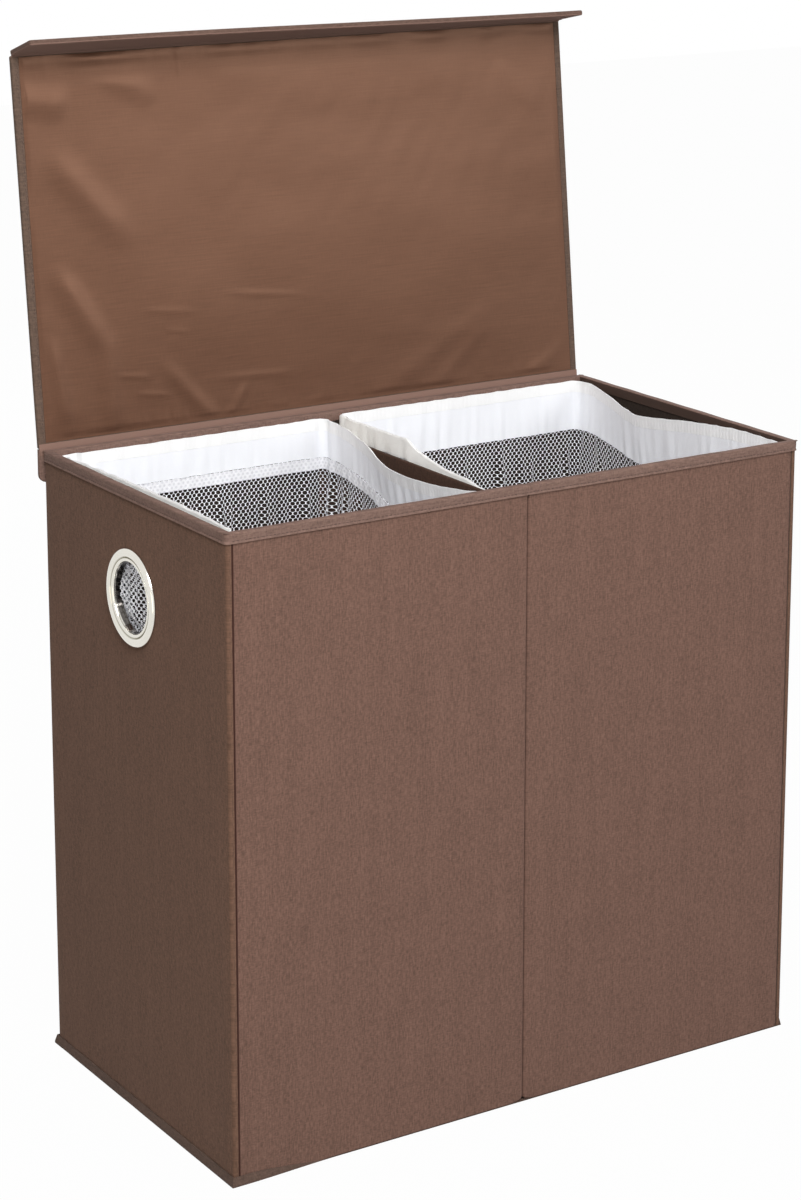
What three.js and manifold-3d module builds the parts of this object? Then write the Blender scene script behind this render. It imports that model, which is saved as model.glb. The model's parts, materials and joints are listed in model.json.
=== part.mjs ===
// Laundry hamper with two bins: a folding box of cloth-covered boards, two net bins that lift out,
// a hinged lid with a front lip, and a ring-lined hand hole in each side.
// Millimetres. +X is right along the front, +Y is to the back and +Z is up.
// The origin is on the floor, under the middle of the box.

import * as THREE from 'three';
import { mergeVertices } from 'three/addons/utils/BufferGeometryUtils.js';
import Module from 'manifold-3d';

const wasm = await Module();
wasm.setup();

// Sizes of the box, over the cloth of its walls
const body_width = 635;
const body_depth = 356;
const body_height = 610;

// Sizes that many pieces share
const clearance = 0.3;
const cut_overrun = 4;
const corner_radius = 3;
const corner_steps = 4;
const round_steps = 36;

// Layers of a wall, from the outside in
const cover_thickness = 0.8;
const board_thickness = 3;
const lining_thickness = 0.6;
const board_corner = 3;

// Cloth of a side wall, turned round on to the front and the back
const corner_wrap = 5;
const seam_gap = 0.5;

// Groove between the two panels of the front, and of the back, where the box folds
const groove_radius = 2.2;
const groove_depth = 4.1;
const groove_foot_radius = 5;
const board_edge_gap = 0.9;

// Strip folded over the rim
const binding_thickness = 0.8;
const rim_leg = 10;
const rim_rounding = 0.7;
const rim_rounding_steps = 2;

// Welt round the bottom edge: it stands out at the sides and tucks under along the front and the back
const welt_height = 9;
const welt_flare = 2.4;
const welt_tuck_start = 12;
const welt_tuck_end = 110;
const welt_tuck_steps = 8;

// Sewn tray under the boards, and the loose stiffeners in it
const base_cloth_thickness = 0.8;
const base_cloth_height = 10;
const base_board_thickness = 3;
const base_board_play = 1;

// Divider between the bins: a board in a sleeve, whose end flanges are sewn to the linings
const divider_below_rim = 22;
const sleeve_thickness = 0.6;
const flange_reach = 14;
const flange_foot = 12;
const flange_below_top = 14;

// Hand hole: a pressed ring whose barrel is clinched over a washer inside the wall
const ring_below_rim = 102;
const ring_bore = 33.5;
const ring_flange_width = 13;
const ring_sheet = 0.8;
const ring_crown_height = 3.3;
const ring_crown_width = 8.2;
const ring_lip_height = 2.2;
const ring_lip_width = 3.4;
const ring_clinch = 2.2;
const ring_clinch_reach = 2;
const crown_end_degrees = 150;
const crown_steps = 6;
const lip_start_degrees = 30;
const lip_steps = 5;
const clinch_steps = 3;
const washer_thickness = 1.2;

// Hook and loop tapes
const tape_width = 20;
const tape_thickness = 0.7;
const wall_tape_end_gap = 16;
const flap_tape_drop = 12;

// Net bins
const bin_below_rim = 7;
const bin_wall = 0.8;
const bin_band = 44;
const bin_corner = 24;
const bin_side_slack = 2.5;
const bin_divider_slack = 3.5;
const bin_net_draw = 4;
const bin_foot_rounding = 9;
const bin_corner_steps = 4;
const bin_end_steps = 6;
const bin_side_steps = 14;
const tape_below_edge = 1;

// How a bin's edge hangs on its two long walls, where no tape holds it: how far it drops, how far it leans
// in, and the stretch over which it comes down and rises again, as shares of the wall from the front
const side_hang = { drop: 14, lean: 14, stretch_shares: [0, 0.56, 0.7, 0.97] };
const left_divider_hang = { drop: 24, lean: 13, stretch_shares: [0.03, 0.24, 0.62, 0.95] };
const right_divider_hang = { drop: 15, lean: 6, stretch_shares: [0.03, 0.24, 0.5, 0.62] };
const seam_lean_share = 0.45;
const net_level_shares = [0.08, 0.5, 1];
const net_lean_shares = [0, 0.3, 1];
const net_draw_shares = [0.5, 1, 0];

// Lid, lip and rear flap, each a board in a cloth pocket
const lid_side_offset = -4;
const lid_rest_gap = 0.5;
const lid_lean_degrees = 6.1;
const lid_edge_rounding = 1.6;
const lid_board_play = 0.6;
const side_hem = 7.5;
const rear_hem = 5;
const lining_recess = 0.2;
const fold_gap = 0.5;
const lip_depth = 45;
const lip_corner = 3;
const lip_clear_of_front = 17.5;
const lip_fold_degrees = 78.5;
const flap_depth = 33;
const flap_corner = 8;

// Places worked out from the sizes above
const half_width = body_width / 2;
const half_depth = body_depth / 2;
const board_face = cover_thickness + clearance;
const board_back = board_face + board_thickness;
const lining_face = board_back + clearance;
const wall_thickness = lining_face + lining_thickness;
const wall_foot = binding_thickness + clearance;
const wall_top = body_height - binding_thickness - clearance;
const binding_proud = clearance + binding_thickness;
const ring_height = body_height - ring_below_rim;
const ring_radius = ring_bore + ring_flange_width;
const hole_radius = ring_bore + ring_sheet + clearance;
const base_board_foot = base_cloth_thickness + clearance;
const base_board_top = base_board_foot + base_board_thickness;
const divider_height = body_height - divider_below_rim;
const flange_top = divider_height - flange_below_top;
const divider_half = board_thickness / 2 + clearance + sleeve_thickness;
const divider_reach = half_depth - wall_thickness - 2 * clearance - base_cloth_thickness;
const bin_tape_face = wall_thickness + clearance + tape_thickness + clearance;
const bin_face = bin_tape_face + tape_thickness + clearance;
const bin_top = body_height - bin_below_rim;
const bin_foot = base_board_top + clearance;
const lid_width = body_width;
const pocket_thickness = 2 * (cover_thickness + clearance) + board_thickness;
const hinge_y = half_depth + 3 * clearance + 2 * tape_thickness;
const hinge_z = body_height + lid_rest_gap;
const lid_length = hinge_y + half_depth + binding_proud + lip_clear_of_front;

// Colours, as the piece is seen in daylight
const brown_cloth = { color: 0x6f5549, roughness: 0.85, metalness: 0 };
const dark_cloth = { color: 0x3d2b23, roughness: 0.9, metalness: 0 };
const satin_cloth = { color: 0x7d5540, roughness: 0.45, metalness: 0 };
const stiff_board = { color: 0x8a7a66, roughness: 0.95, metalness: 0 };
const white_nylon = { color: 0xe9ebf2, roughness: 0.5, metalness: 0 };
const white_net = { color: 0xdfe1e6, roughness: 0.7, metalness: 0 };
const cream_tape = { color: 0xe8e2d2, roughness: 0.9, metalness: 0 };
const polished_steel = { color: 0xcfccc2, roughness: 0.15, metalness: 1 };

// A mesh with shared corners and its faces pointing out.
function closed(geometry) {
  const bare = geometry.clone();
  bare.deleteAttribute('normal');
  bare.deleteAttribute('uv');
  const merged = mergeVertices(bare);
  const corners = merged.attributes.position;
  const index = merged.index.array;
  const [a, b, c] = [new THREE.Vector3(), new THREE.Vector3(), new THREE.Vector3()];
  let volume = 0;
  for (let i = 0; i < index.length; i += 3) {
    a.fromBufferAttribute(corners, index[i]);
    b.fromBufferAttribute(corners, index[i + 1]);
    c.fromBufferAttribute(corners, index[i + 2]);
    volume += a.dot(b.cross(c));
  }
  if (volume < 0) {
    for (let i = 0; i < index.length; i += 3) {
      [index[i + 1], index[i + 2]] = [index[i + 2], index[i + 1]];
    }
  }
  return merged;
}

// A solid for joining and cutting.
function solid(geometry) {
  const mesh = closed(geometry);
  const vertProperties = mesh.attributes.position.array;
  const triVerts = new Uint32Array(mesh.index.array);
  return new wasm.Manifold(new wasm.Mesh({ numProp: 3, vertProperties, triVerts }));
}

// The mesh of a solid that was joined or cut.
function geometry_of(made) {
  const mesh = made.getMesh();
  const geometry = new THREE.BufferGeometry();
  geometry.setAttribute('position', new THREE.BufferAttribute(mesh.vertProperties, 3));
  geometry.setIndex(new THREE.BufferAttribute(mesh.triVerts, 1));
  return geometry;
}

// A named piece with its own finish.
function piece(name, geometry, finish) {
  const mesh = new THREE.Mesh(geometry, new THREE.MeshStandardMaterial(finish));
  mesh.name = name;
  return mesh;
}

// Points of an arc, in degrees.
function arc(x, y, radius, from, to, steps, radius_y = radius) {
  const points = [];
  for (let i = 0; i <= steps; i += 1) {
    const angle = THREE.MathUtils.degToRad(from + ((to - from) * i) / steps);
    points.push(new THREE.Vector2(x + radius * Math.cos(angle), y + radius_y * Math.sin(angle)));
  }
  return points;
}

// A rectangle whose corners are rounded one by one, from the low corner and then anticlockwise.
function rectangle(x0, y0, x1, y1, radii = [0, 0, 0, 0]) {
  const corners = [
    [x0, y0, 1, 1, 180],
    [x1, y0, -1, 1, 270],
    [x1, y1, -1, -1, 0],
    [x0, y1, 1, -1, 90],
  ];
  const points = [];
  corners.forEach(([x, y, in_x, in_y, start], i) => {
    const r = radii[i];
    if (r > 0) {
      points.push(...arc(x + in_x * r, y + in_y * r, r, start, start + 90, corner_steps));
    } else {
      points.push(new THREE.Vector2(x, y));
    }
  });
  return points;
}

function all_round(radius) {
  return [radius, radius, radius, radius];
}

// An outline in the floor plan, drawn up from one height to another.
function upright(points, from, to, holes = []) {
  const shape = new THREE.Shape(points);
  holes.forEach((hole) => shape.holes.push(new THREE.Path(hole)));
  const geometry = new THREE.ExtrudeGeometry(shape, { depth: to - from, bevelEnabled: false });
  return geometry.translate(0, 0, from);
}

// An outline seen from the front, in X and Z, drawn from one Y to another.
function facing_front(points, from, to, holes = []) {
  const turn = new THREE.Matrix4().makeBasis(
    new THREE.Vector3(1, 0, 0),
    new THREE.Vector3(0, 0, 1),
    new THREE.Vector3(0, -1, 0),
  );
  return upright(points, 0, to - from, holes).applyMatrix4(turn).translate(0, to, 0);
}

// An outline seen from the side, in Y and Z, drawn from one X to another.
function facing_side(points, from, to, holes = []) {
  const turn = new THREE.Matrix4().makeBasis(
    new THREE.Vector3(0, 1, 0),
    new THREE.Vector3(0, 0, 1),
    new THREE.Vector3(1, 0, 0),
  );
  return upright(points, 0, to - from, holes).applyMatrix4(turn).translate(from, 0, 0);
}

// A box between two corners, as a solid.
function block(x0, y0, z0, x1, y1, z1) {
  return solid(upright(rectangle(x0, y0, x1, y1), z0, z1));
}

// Stations round a path, each with the same count of section points, joined into a closed ring.
function ring_of(stations) {
  const count = stations[0].length;
  const positions = stations.flat().flatMap((p) => [p.x, p.y, p.z]);
  const index = [];
  stations.forEach((station, i) => {
    const next = (i + 1) % stations.length;
    for (let j = 0; j < count; j += 1) {
      const k = (j + 1) % count;
      index.push(i * count + j, next * count + j, next * count + k);
      index.push(i * count + j, next * count + k, i * count + k);
    }
  });
  const geometry = new THREE.BufferGeometry();
  geometry.setAttribute('position', new THREE.Float32BufferAttribute(positions, 3));
  geometry.setIndex(index);
  return closed(geometry);
}

// Rings stacked from the first to the last, each end closed by a fan to its middle.
function loft_of(rings) {
  const count = rings[0].length;
  const positions = rings.flat().flatMap((p) => [p.x, p.y, p.z]);
  const index = [];
  for (let i = 0; i + 1 < rings.length; i += 1) {
    for (let j = 0; j < count; j += 1) {
      const k = (j + 1) % count;
      index.push(i * count + j, i * count + k, (i + 1) * count + k);
      index.push(i * count + j, (i + 1) * count + k, (i + 1) * count + j);
    }
  }
  [rings[0], rings[rings.length - 1]].forEach((ring, end) => {
    const middle = new THREE.Vector3();
    ring.forEach((p) => middle.add(p));
    middle.divideScalar(count);
    positions.push(middle.x, middle.y, middle.z);
    const centre = rings.length * count + end;
    const first = end === 0 ? 0 : (rings.length - 1) * count;
    for (let j = 0; j < count; j += 1) {
      const k = (j + 1) % count;
      const [from, to] = end === 0 ? [k, j] : [j, k];
      index.push(centre, first + from, first + to);
    }
  });
  const geometry = new THREE.BufferGeometry();
  geometry.setAttribute('position', new THREE.Float32BufferAttribute(positions, 3));
  geometry.setIndex(index);
  return closed(geometry);
}

// 0 before a, 1 after b, and an even rise between them.
function rise(share, a, b) {
  return THREE.MathUtils.smoothstep(share, a, b);
}

// The box seen from above, drawn in by a depth from the outer cloth.
function plan(depth, radius) {
  const x = half_width - depth;
  const y = half_depth - depth;
  return rectangle(-x, -y, x, y, all_round(radius));
}

// A circle where the hand hole passes through the layers of a side wall.
function hand_hole(radius) {
  return arc(0, ring_height, radius, 0, 360, round_steps).slice(0, round_steps);
}

// Outline of one panel of the front, from its outer edge to its edge at the fold, seen from the front.
// Its lower corner at the fold is rounded.
function panel_outline(side, outer_edge, fold_edge) {
  const [x0, x1] = side < 0 ? [-outer_edge, -fold_edge] : [fold_edge, outer_edge];
  const radii = side < 0 ? [0, groove_foot_radius, 0, 0] : [groove_foot_radius, 0, 0, 0];
  return rectangle(x0, wall_foot, x1, wall_top, radii);
}

// Cloth of one panel: flat, then turned in round the board's edge to make the fold's groove.
function panel_cover(side, face) {
  const outer_edge = half_width - corner_wrap - seam_gap;
  const fold_edge = clearance;
  const y = -half_depth;
  const bend_x = fold_edge + groove_radius;
  const bend_y = y + groove_radius;
  const profile = [
    new THREE.Vector2(outer_edge, y),
    ...arc(bend_x, bend_y, groove_radius, 270, 180, corner_steps),
    new THREE.Vector2(fold_edge, y + groove_depth),
    new THREE.Vector2(fold_edge + cover_thickness, y + groove_depth),
    ...arc(bend_x, bend_y, groove_radius - cover_thickness, 180, 270, corner_steps),
    new THREE.Vector2(outer_edge, y + cover_thickness),
  ];
  const placed = profile.map((p) => new THREE.Vector2(p.x * side, p.y * face));
  const cloth = solid(upright(placed, wall_foot, wall_top));
  const [near, far] = [half_depth - groove_depth - cut_overrun, half_depth + cut_overrun];
  const [from, to] = face > 0 ? [-far, -near] : [near, far];
  const outline = panel_outline(side, outer_edge, fold_edge);
  return geometry_of(cloth.intersect(solid(facing_front(outline, from, to))));
}

// Board of one panel.
function panel_board(side, face) {
  const outer_edge = half_width - board_back - clearance;
  const fold_edge = clearance + cover_thickness + board_edge_gap;
  const outline = panel_outline(side, outer_edge, fold_edge);
  const [near, far] = [half_depth - board_back, half_depth - board_face];
  const [from, to] = face > 0 ? [-far, -near] : [near, far];
  return facing_front(outline, from, to);
}

// Cloth of a side wall: one sheet turned round both upright corners, with the hand hole cut out.
function side_cover() {
  const [x, y] = [-half_width, half_depth];
  const inner = corner_radius - cover_thickness;
  const [bend_x, bend_y] = [x + corner_radius, y - corner_radius];
  const profile = [
    new THREE.Vector2(x + corner_wrap, -y),
    ...arc(bend_x, -bend_y, corner_radius, 270, 180, corner_steps),
    ...arc(bend_x, bend_y, corner_radius, 180, 90, corner_steps),
    new THREE.Vector2(x + corner_wrap, y),
    new THREE.Vector2(x + corner_wrap, y - cover_thickness),
    ...arc(bend_x, bend_y, inner, 90, 180, corner_steps),
    ...arc(bend_x, -bend_y, inner, 180, 270, corner_steps),
    new THREE.Vector2(x + corner_wrap, -y + cover_thickness),
  ];
  const cloth = solid(upright(profile, wall_foot, wall_top));
  const [from, to] = [x - cut_overrun, x + corner_wrap + cut_overrun];
  const hole = facing_side(hand_hole(hole_radius), from, to);
  return geometry_of(cloth.subtract(solid(hole)));
}

// Board of a side wall, its upright edges rounded to fit inside the bend of the cloth.
function side_board() {
  const y = half_depth - board_face;
  const outline = rectangle(-y, wall_foot, y, wall_top);
  const [from, to] = [-half_width + board_face, -half_width + board_back];
  const board = solid(facing_side(outline, from, to, [hand_hole(hole_radius)]));
  const bend = upright(plan(board_face, corner_radius - board_face), 0, body_height);
  return geometry_of(board.intersect(solid(bend)));
}

// Lining of a side wall.
function side_lining() {
  const y = half_depth - wall_thickness - clearance;
  const outline = rectangle(-y, wall_foot, y, wall_top);
  const [from, to] = [-half_width + lining_face, -half_width + wall_thickness];
  return facing_side(outline, from, to, [hand_hole(hole_radius)]);
}

// Lining of the front: one sheet behind both boards, which the wall folds on.
function front_lining() {
  const x = half_width - lining_face;
  const outline = rectangle(-x, wall_foot, x, wall_top);
  return facing_front(outline, -half_depth + lining_face, -half_depth + wall_thickness);
}

// Strip folded over the rim, open below, with the top edges of the walls inside it.
function rim_binding() {
  const foot = body_height - rim_leg;
  const outer = rectangle(
    -half_width - binding_proud,
    -half_depth - binding_proud,
    half_width + binding_proud,
    half_depth + binding_proud,
    all_round(corner_radius + binding_proud),
  );
  const rounded = new THREE.ExtrudeGeometry(new THREE.Shape(outer), {
    depth: rim_leg,
    bevelEnabled: true,
    bevelThickness: rim_rounding,
    bevelSize: rim_rounding,
    bevelOffset: -rim_rounding,
    bevelSegments: rim_rounding_steps,
  }).translate(0, 0, foot - rim_rounding);
  const [far_x, far_y] = [half_width + cut_overrun, half_depth + cut_overrun];
  const below = block(-far_x, -far_y, foot - cut_overrun, far_x, far_y, foot);
  const channel_plan = plan(-clearance, corner_radius + clearance);
  const channel = solid(upright(channel_plan, foot - cut_overrun, wall_top + clearance));
  const leg_face = wall_thickness + clearance;
  const leg = solid(upright(plan(leg_face, 0), foot, body_height - rim_rounding));
  const opening_plan = plan(leg_face + binding_thickness, 0);
  const opening = solid(upright(opening_plan, foot - cut_overrun, body_height + cut_overrun));
  const strip = solid(rounded).subtract(below).subtract(channel).add(leg).subtract(opening);
  return geometry_of(strip);
}

// What is cut from the welt along the front (face 1) or the back (face -1), so that it tapers from each
// corner and tucks under.
function welt_tuck(face) {
  const lower = [];
  for (let i = 0; i <= welt_tuck_steps; i += 1) {
    const share = i / welt_tuck_steps;
    const x = half_width - THREE.MathUtils.lerp(welt_tuck_start, welt_tuck_end, share);
    const z = THREE.MathUtils.lerp(welt_height, -clearance, rise(share, 0, 1));
    lower.push(new THREE.Vector2(x, z));
  }
  const top = welt_height + cut_overrun;
  const outline = [
    ...lower,
    ...lower.map((p) => new THREE.Vector2(-p.x, p.y)).reverse(),
    new THREE.Vector2(-lower[0].x, top),
    new THREE.Vector2(lower[0].x, top),
  ];
  const [near, far] = [half_depth, half_depth + welt_flare + cut_overrun];
  const [from, to] = face > 0 ? [-far, -near] : [near, far];
  return solid(facing_front(outline, from, to));
}

// Welt round the bottom edge: a leg outside the wall, flared at its foot, and a web under the wall.
function bottom_binding() {
  const foot_out = binding_proud + welt_flare;
  const section = [
    [foot_out, 0],
    [binding_proud, welt_height],
    [clearance, welt_height],
    [foot_out - binding_thickness, binding_thickness],
    [-wall_thickness, binding_thickness],
    [-wall_thickness, 0],
  ];
  const corners = [
    [-1, -1],
    [1, -1],
    [1, 1],
    [-1, 1],
  ];
  const stations = corners.map(([x, y]) =>
    section.map(
      ([out, z]) => new THREE.Vector3(x * (half_width + out), y * (half_depth + out), z),
    ),
  );
  const welt = solid(ring_of(stations));
  return geometry_of(welt.subtract(welt_tuck(1)).subtract(welt_tuck(-1)));
}

// Sewn tray that closes the bottom and rests on the floor.
function base_cloth() {
  const outer = wall_thickness + clearance;
  const tray = solid(upright(plan(outer, 0), 0, base_cloth_height));
  const inside = plan(outer + base_cloth_thickness, 0);
  const top = base_cloth_height + cut_overrun;
  return geometry_of(tray.subtract(solid(upright(inside, base_cloth_thickness, top))));
}

// Loose stiffener under one bin.
function base_board(side) {
  const edge = wall_thickness + clearance + base_cloth_thickness + base_board_play;
  const [near, far] = [divider_half + base_board_play, half_width - edge];
  const y = half_depth - edge;
  const [x0, x1] = side < 0 ? [-far, -near] : [near, far];
  const outline = rectangle(x0, -y, x1, y, all_round(board_corner));
  return upright(outline, base_board_foot, base_board_top);
}

// Board of the divider.
function divider_board() {
  const y = divider_reach - sleeve_thickness - clearance;
  const top = divider_height - sleeve_thickness - clearance;
  const outline = rectangle(-y, base_board_foot, y, top, [0, 0, board_corner, board_corner]);
  return facing_side(outline, -board_thickness / 2, board_thickness / 2);
}

// Sleeve of the divider, open below. Each end has a flange, its folded seam allowance, that is sewn to the
// lining above the upturned edge of the base cloth.
function divider_cover() {
  const y = divider_reach;
  const lining_y = half_depth - wall_thickness - clearance;
  const inner_y = y - sleeve_thickness;
  const inner_x = divider_half - sleeve_thickness;
  const sleeve = block(-divider_half, -y, base_board_foot, divider_half, y, divider_height);
  const inner_top = divider_height - sleeve_thickness;
  const foot = base_board_foot - cut_overrun;
  const room = block(-inner_x, -inner_y, foot, inner_x, inner_y, inner_top);
  const flange = (from, to) => block(-flange_reach, from, flange_foot, flange_reach, to, flange_top);
  const joined = sleeve.add(flange(-lining_y, -inner_y)).add(flange(inner_y, lining_y)).subtract(room);
  return geometry_of(joined);
}

// A thin pressed sheet seen in section: its middle line, thickened to both sides.
function thickened(line, thickness) {
  const side_of = (sign) =>
    line.map((p, i) => {
      const before = line[Math.max(i - 1, 0)];
      const after = line[Math.min(i + 1, line.length - 1)];
      const along = after.clone().sub(before).normalize();
      const across = new THREE.Vector2(-along.y, along.x);
      return p.clone().addScaledVector(across, (sign * thickness) / 2);
    });
  const outline = [...side_of(1), ...side_of(-1).reverse()];
  return [...outline, outline[0].clone()];
}

// Ring of the hand hole, turned about its axis: a rounded crown, a groove, a raised lip, and a barrel
// through the wall that is clinched over the washer. Y points out of the wall, from the cloth's face.
function hand_ring() {
  const half_sheet = ring_sheet / 2;
  const foot = clearance + half_sheet;
  const crown_x = ring_radius - half_sheet - ring_crown_width / 2;
  const barrel = ring_bore + half_sheet;
  const lip_x = barrel + ring_lip_width / 2;
  const clinch_y = -wall_thickness - washer_thickness - 2 * clearance - half_sheet;
  const line = [
    ...arc(crown_x, foot, ring_crown_width / 2, 0, crown_end_degrees, crown_steps, ring_crown_height),
    ...arc(lip_x, foot, ring_lip_width / 2, lip_start_degrees, 180, lip_steps, ring_lip_height),
    ...arc(barrel + ring_clinch, clinch_y + ring_clinch, ring_clinch, 180, 270, clinch_steps),
    new THREE.Vector2(barrel + ring_clinch + ring_clinch_reach, clinch_y),
  ];
  return closed(new THREE.LatheGeometry(thickened(line, ring_sheet), round_steps));
}

// Washer that the barrel is clinched over, against the lining.
function hand_washer() {
  const inner = ring_bore + ring_sheet + ring_clinch + clearance;
  const [from, to] = [-wall_thickness - clearance - washer_thickness, -wall_thickness - clearance];
  const outline = rectangle(inner, from, ring_radius, to);
  return closed(new THREE.LatheGeometry([...outline, outline[0].clone()], round_steps));
}

// How far a hanging edge is along its dip at one place of a wall: 0 at the ends and 1 in the dip.
function hang(share, { stretch_shares: [a, b, c, d] }) {
  return rise(share, a, b) * (1 - rise(share, c, d));
}

// Stations round a bin, seen from above. Each has its place and outward direction, and how far the edge
// drops and leans in there. The path goes anticlockwise from the front.
function bin_stations(side) {
  const near = divider_half + bin_divider_slack + tape_thickness + clearance;
  const far = half_width - bin_face - bin_side_slack;
  const [x0, x1] = side < 0 ? [-far, -near] : [near, far];
  const y = half_depth - bin_face;
  const hang_left = side < 0 ? side_hang : right_divider_hang;
  const hang_right = side < 0 ? left_divider_hang : side_hang;
  const r = bin_corner;
  const stations = [];
  const edge = (from_x, from_y, to_x, to_y, out_x, out_y, steps, hangs) => {
    for (let i = 1; i < steps; i += 1) {
      const share = i / steps;
      const place_y = THREE.MathUtils.lerp(from_y, to_y, share);
      const wall_share = (place_y + y) / (2 * y);
      const amount = hangs ? hang(wall_share, hangs) : 0;
      stations.push({
        x: THREE.MathUtils.lerp(from_x, to_x, share),
        y: place_y,
        out: new THREE.Vector2(out_x, out_y),
        drop: hangs ? hangs.drop * amount : 0,
        lean: hangs ? hangs.lean * amount : 0,
      });
    }
  };
  const corner = (x, centre_y, start, hangs) => {
    arc(0, 0, 1, start, start + 90, bin_corner_steps).forEach((out) => {
      const place_y = centre_y + r * out.y;
      const along = Math.abs(out.x);
      const amount = hang((place_y + y) / (2 * y), hangs) * along;
      stations.push({
        x: x + r * out.x,
        y: place_y,
        out,
        drop: hangs.drop * amount,
        lean: hangs.lean * amount,
      });
    });
  };
  edge(x0 + r, -y, x1 - r, -y, 0, -1, bin_end_steps, null);
  corner(x1 - r, -y + r, 270, hang_right);
  edge(x1, -y + r, x1, y - r, 1, 0, bin_side_steps, hang_right);
  corner(x1 - r, y - r, 0, hang_right);
  edge(x1 - r, y, x0 + r, y, 0, 1, bin_end_steps, null);
  corner(x0 + r, y - r, 90, hang_left);
  edge(x0, y - r, x0, -y + r, -1, 0, bin_side_steps, hang_left);
  corner(x0 + r, -y + r, 180, hang_left);
  return stations;
}

// A point of a bin's cloth at one station, drawn in from its outer face.
function bin_point(station, inset, z) {
  const { x, y, out } = station;
  return new THREE.Vector3(x - out.x * inset, y - out.y * inset, z);
}

// Height of a bin's edge and of the seam under its band, at one station.
function bin_levels(station) {
  const top = bin_top - station.drop;
  return { top, seam: top - bin_band };
}

// How far the cloth leans in at a height between the seam and the edge.
function band_lean(station, z) {
  const { top, seam } = bin_levels(station);
  const share = (z - seam) / (top - seam);
  return station.lean * THREE.MathUtils.lerp(seam_lean_share, 1, share);
}

// Lower and upper edge of the hook tape on a bin's band, at one station.
function tape_levels(station) {
  const upper = bin_levels(station).top - tape_below_edge;
  return { upper, lower: upper - tape_width };
}

// Band of a bin.
function bin_band_ring(stations) {
  return ring_of(
    stations.map((station) => {
      const { top, seam } = bin_levels(station);
      const { upper, lower } = tape_levels(station);
      const levels = [seam, lower, upper, top];
      const point = (z, inset) => bin_point(station, inset + band_lean(station, z), z);
      const outside = levels.map((z) => point(z, 0));
      const inside = levels.map((z) => point(z, bin_wall));
      return [...outside, ...inside.reverse()];
    }),
  );
}

// Hook tape round the outside of a bin's band.
function bin_tape_ring(stations) {
  return ring_of(
    stations.map((station) => {
      const { upper, lower } = tape_levels(station);
      const point = (z, outset) => bin_point(station, band_lean(station, z) - outset, z);
      const outer = clearance + tape_thickness;
      return [
        point(lower, clearance),
        point(upper, clearance),
        point(upper, outer),
        point(lower, outer),
      ];
    }),
  );
}

// Net bag of a bin: from its flat bottom up the outside to the seam, and down the inside again.
function bin_net(stations) {
  const level = (station, i, inset) => {
    const top = bin_levels(station).seam - clearance;
    const z = THREE.MathUtils.lerp(bin_foot, top, net_level_shares[i]);
    const lean = station.lean * seam_lean_share * net_lean_shares[i];
    return bin_point(station, inset + lean + bin_net_draw * net_draw_shares[i], z);
  };
  const ring = (i, inset) => stations.map((station) => level(station, i, inset));
  const foot = (inset, z) => stations.map((station) => bin_point(station, inset, z));
  const drawn = bin_net_draw * net_draw_shares[0];
  const outside = [foot(drawn + bin_foot_rounding, bin_foot), foot(drawn, bin_foot + bin_foot_rounding)];
  const inside = [
    foot(drawn + bin_wall, bin_foot + bin_foot_rounding),
    foot(drawn + bin_foot_rounding, bin_foot + bin_wall),
  ];
  const up = net_level_shares.map((_, i) => ring(i, 0));
  const down = net_level_shares.map((_, i) => ring(i, bin_wall)).reverse();
  return loft_of([...outside, ...up, ...down, ...inside]);
}

// Loop tape on the lining of the front, which one end of a bin is pressed on to.
function wall_tape(side) {
  const [near, far] = [wall_tape_end_gap, half_width - wall_thickness - wall_tape_end_gap];
  const top = body_height - rim_leg - clearance;
  const [x0, x1] = side < 0 ? [-far, -near] : [near, far];
  const face = -half_depth + wall_thickness + clearance;
  return facing_front(rectangle(x0, top - tape_width, x1, top), face, face + tape_thickness);
}

// Cloth pocket round a board, lying flat: it reaches from the fold along -Y, its inner face is at Z 0, its
// far edge and its sides are rounded, and it is open at the fold. Its far corners are rounded in plan.
function pocket(depth, corner) {
  const t = pocket_thickness;
  const x = lid_width / 2;
  const r = lid_edge_rounding;
  const body = solid(upright(rectangle(-x, -depth, x, -fold_gap, [corner, corner, 0, 0]), 0, t));
  const along = solid(facing_front(rectangle(-x, 0, x, t, all_round(r)), -depth, -fold_gap));
  const across = solid(facing_side(rectangle(-depth, 0, -fold_gap, t, [r, 0, 0, r]), -x, x));
  const wall = cover_thickness;
  const inner_radii = [corner - wall, corner - wall, 0, 0];
  const inner = rectangle(-x + wall, -depth + wall, x - wall, cut_overrun, inner_radii);
  const room = solid(upright(inner, wall, t - wall));
  return geometry_of(body.intersect(along).intersect(across).subtract(room));
}

// Board inside a pocket.
function pocket_board(depth, corner) {
  const edge = cover_thickness + lid_board_play;
  const x = lid_width / 2 - edge;
  const r = corner - cover_thickness;
  const outline = rectangle(-x, -depth + edge, x, -fold_gap, [r, r, 0, 0]);
  return upright(outline, board_face, board_back);
}

// Cloth of the lid, lying closed: an outer sheet turned round the board's edges, with hems round the lining.
function lid_cover() {
  const t = pocket_thickness;
  const x = lid_width / 2;
  const [front, rear] = [-lid_length + fold_gap, -fold_gap];
  const r = lid_edge_rounding;
  const along = solid(facing_front(rectangle(-x, 0, x, t, all_round(r)), front, rear));
  const across = solid(facing_side(rectangle(front, 0, rear, t, [0, r, r, 0]), -x, x));
  const edge = cover_thickness;
  const room = block(-x + edge, front + edge, edge, x - edge, rear - edge, t - edge);
  const window = block(-x + side_hem, front + edge, -cut_overrun, x - side_hem, rear - rear_hem, t / 2);
  return geometry_of(along.intersect(across).subtract(room).subtract(window));
}

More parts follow.
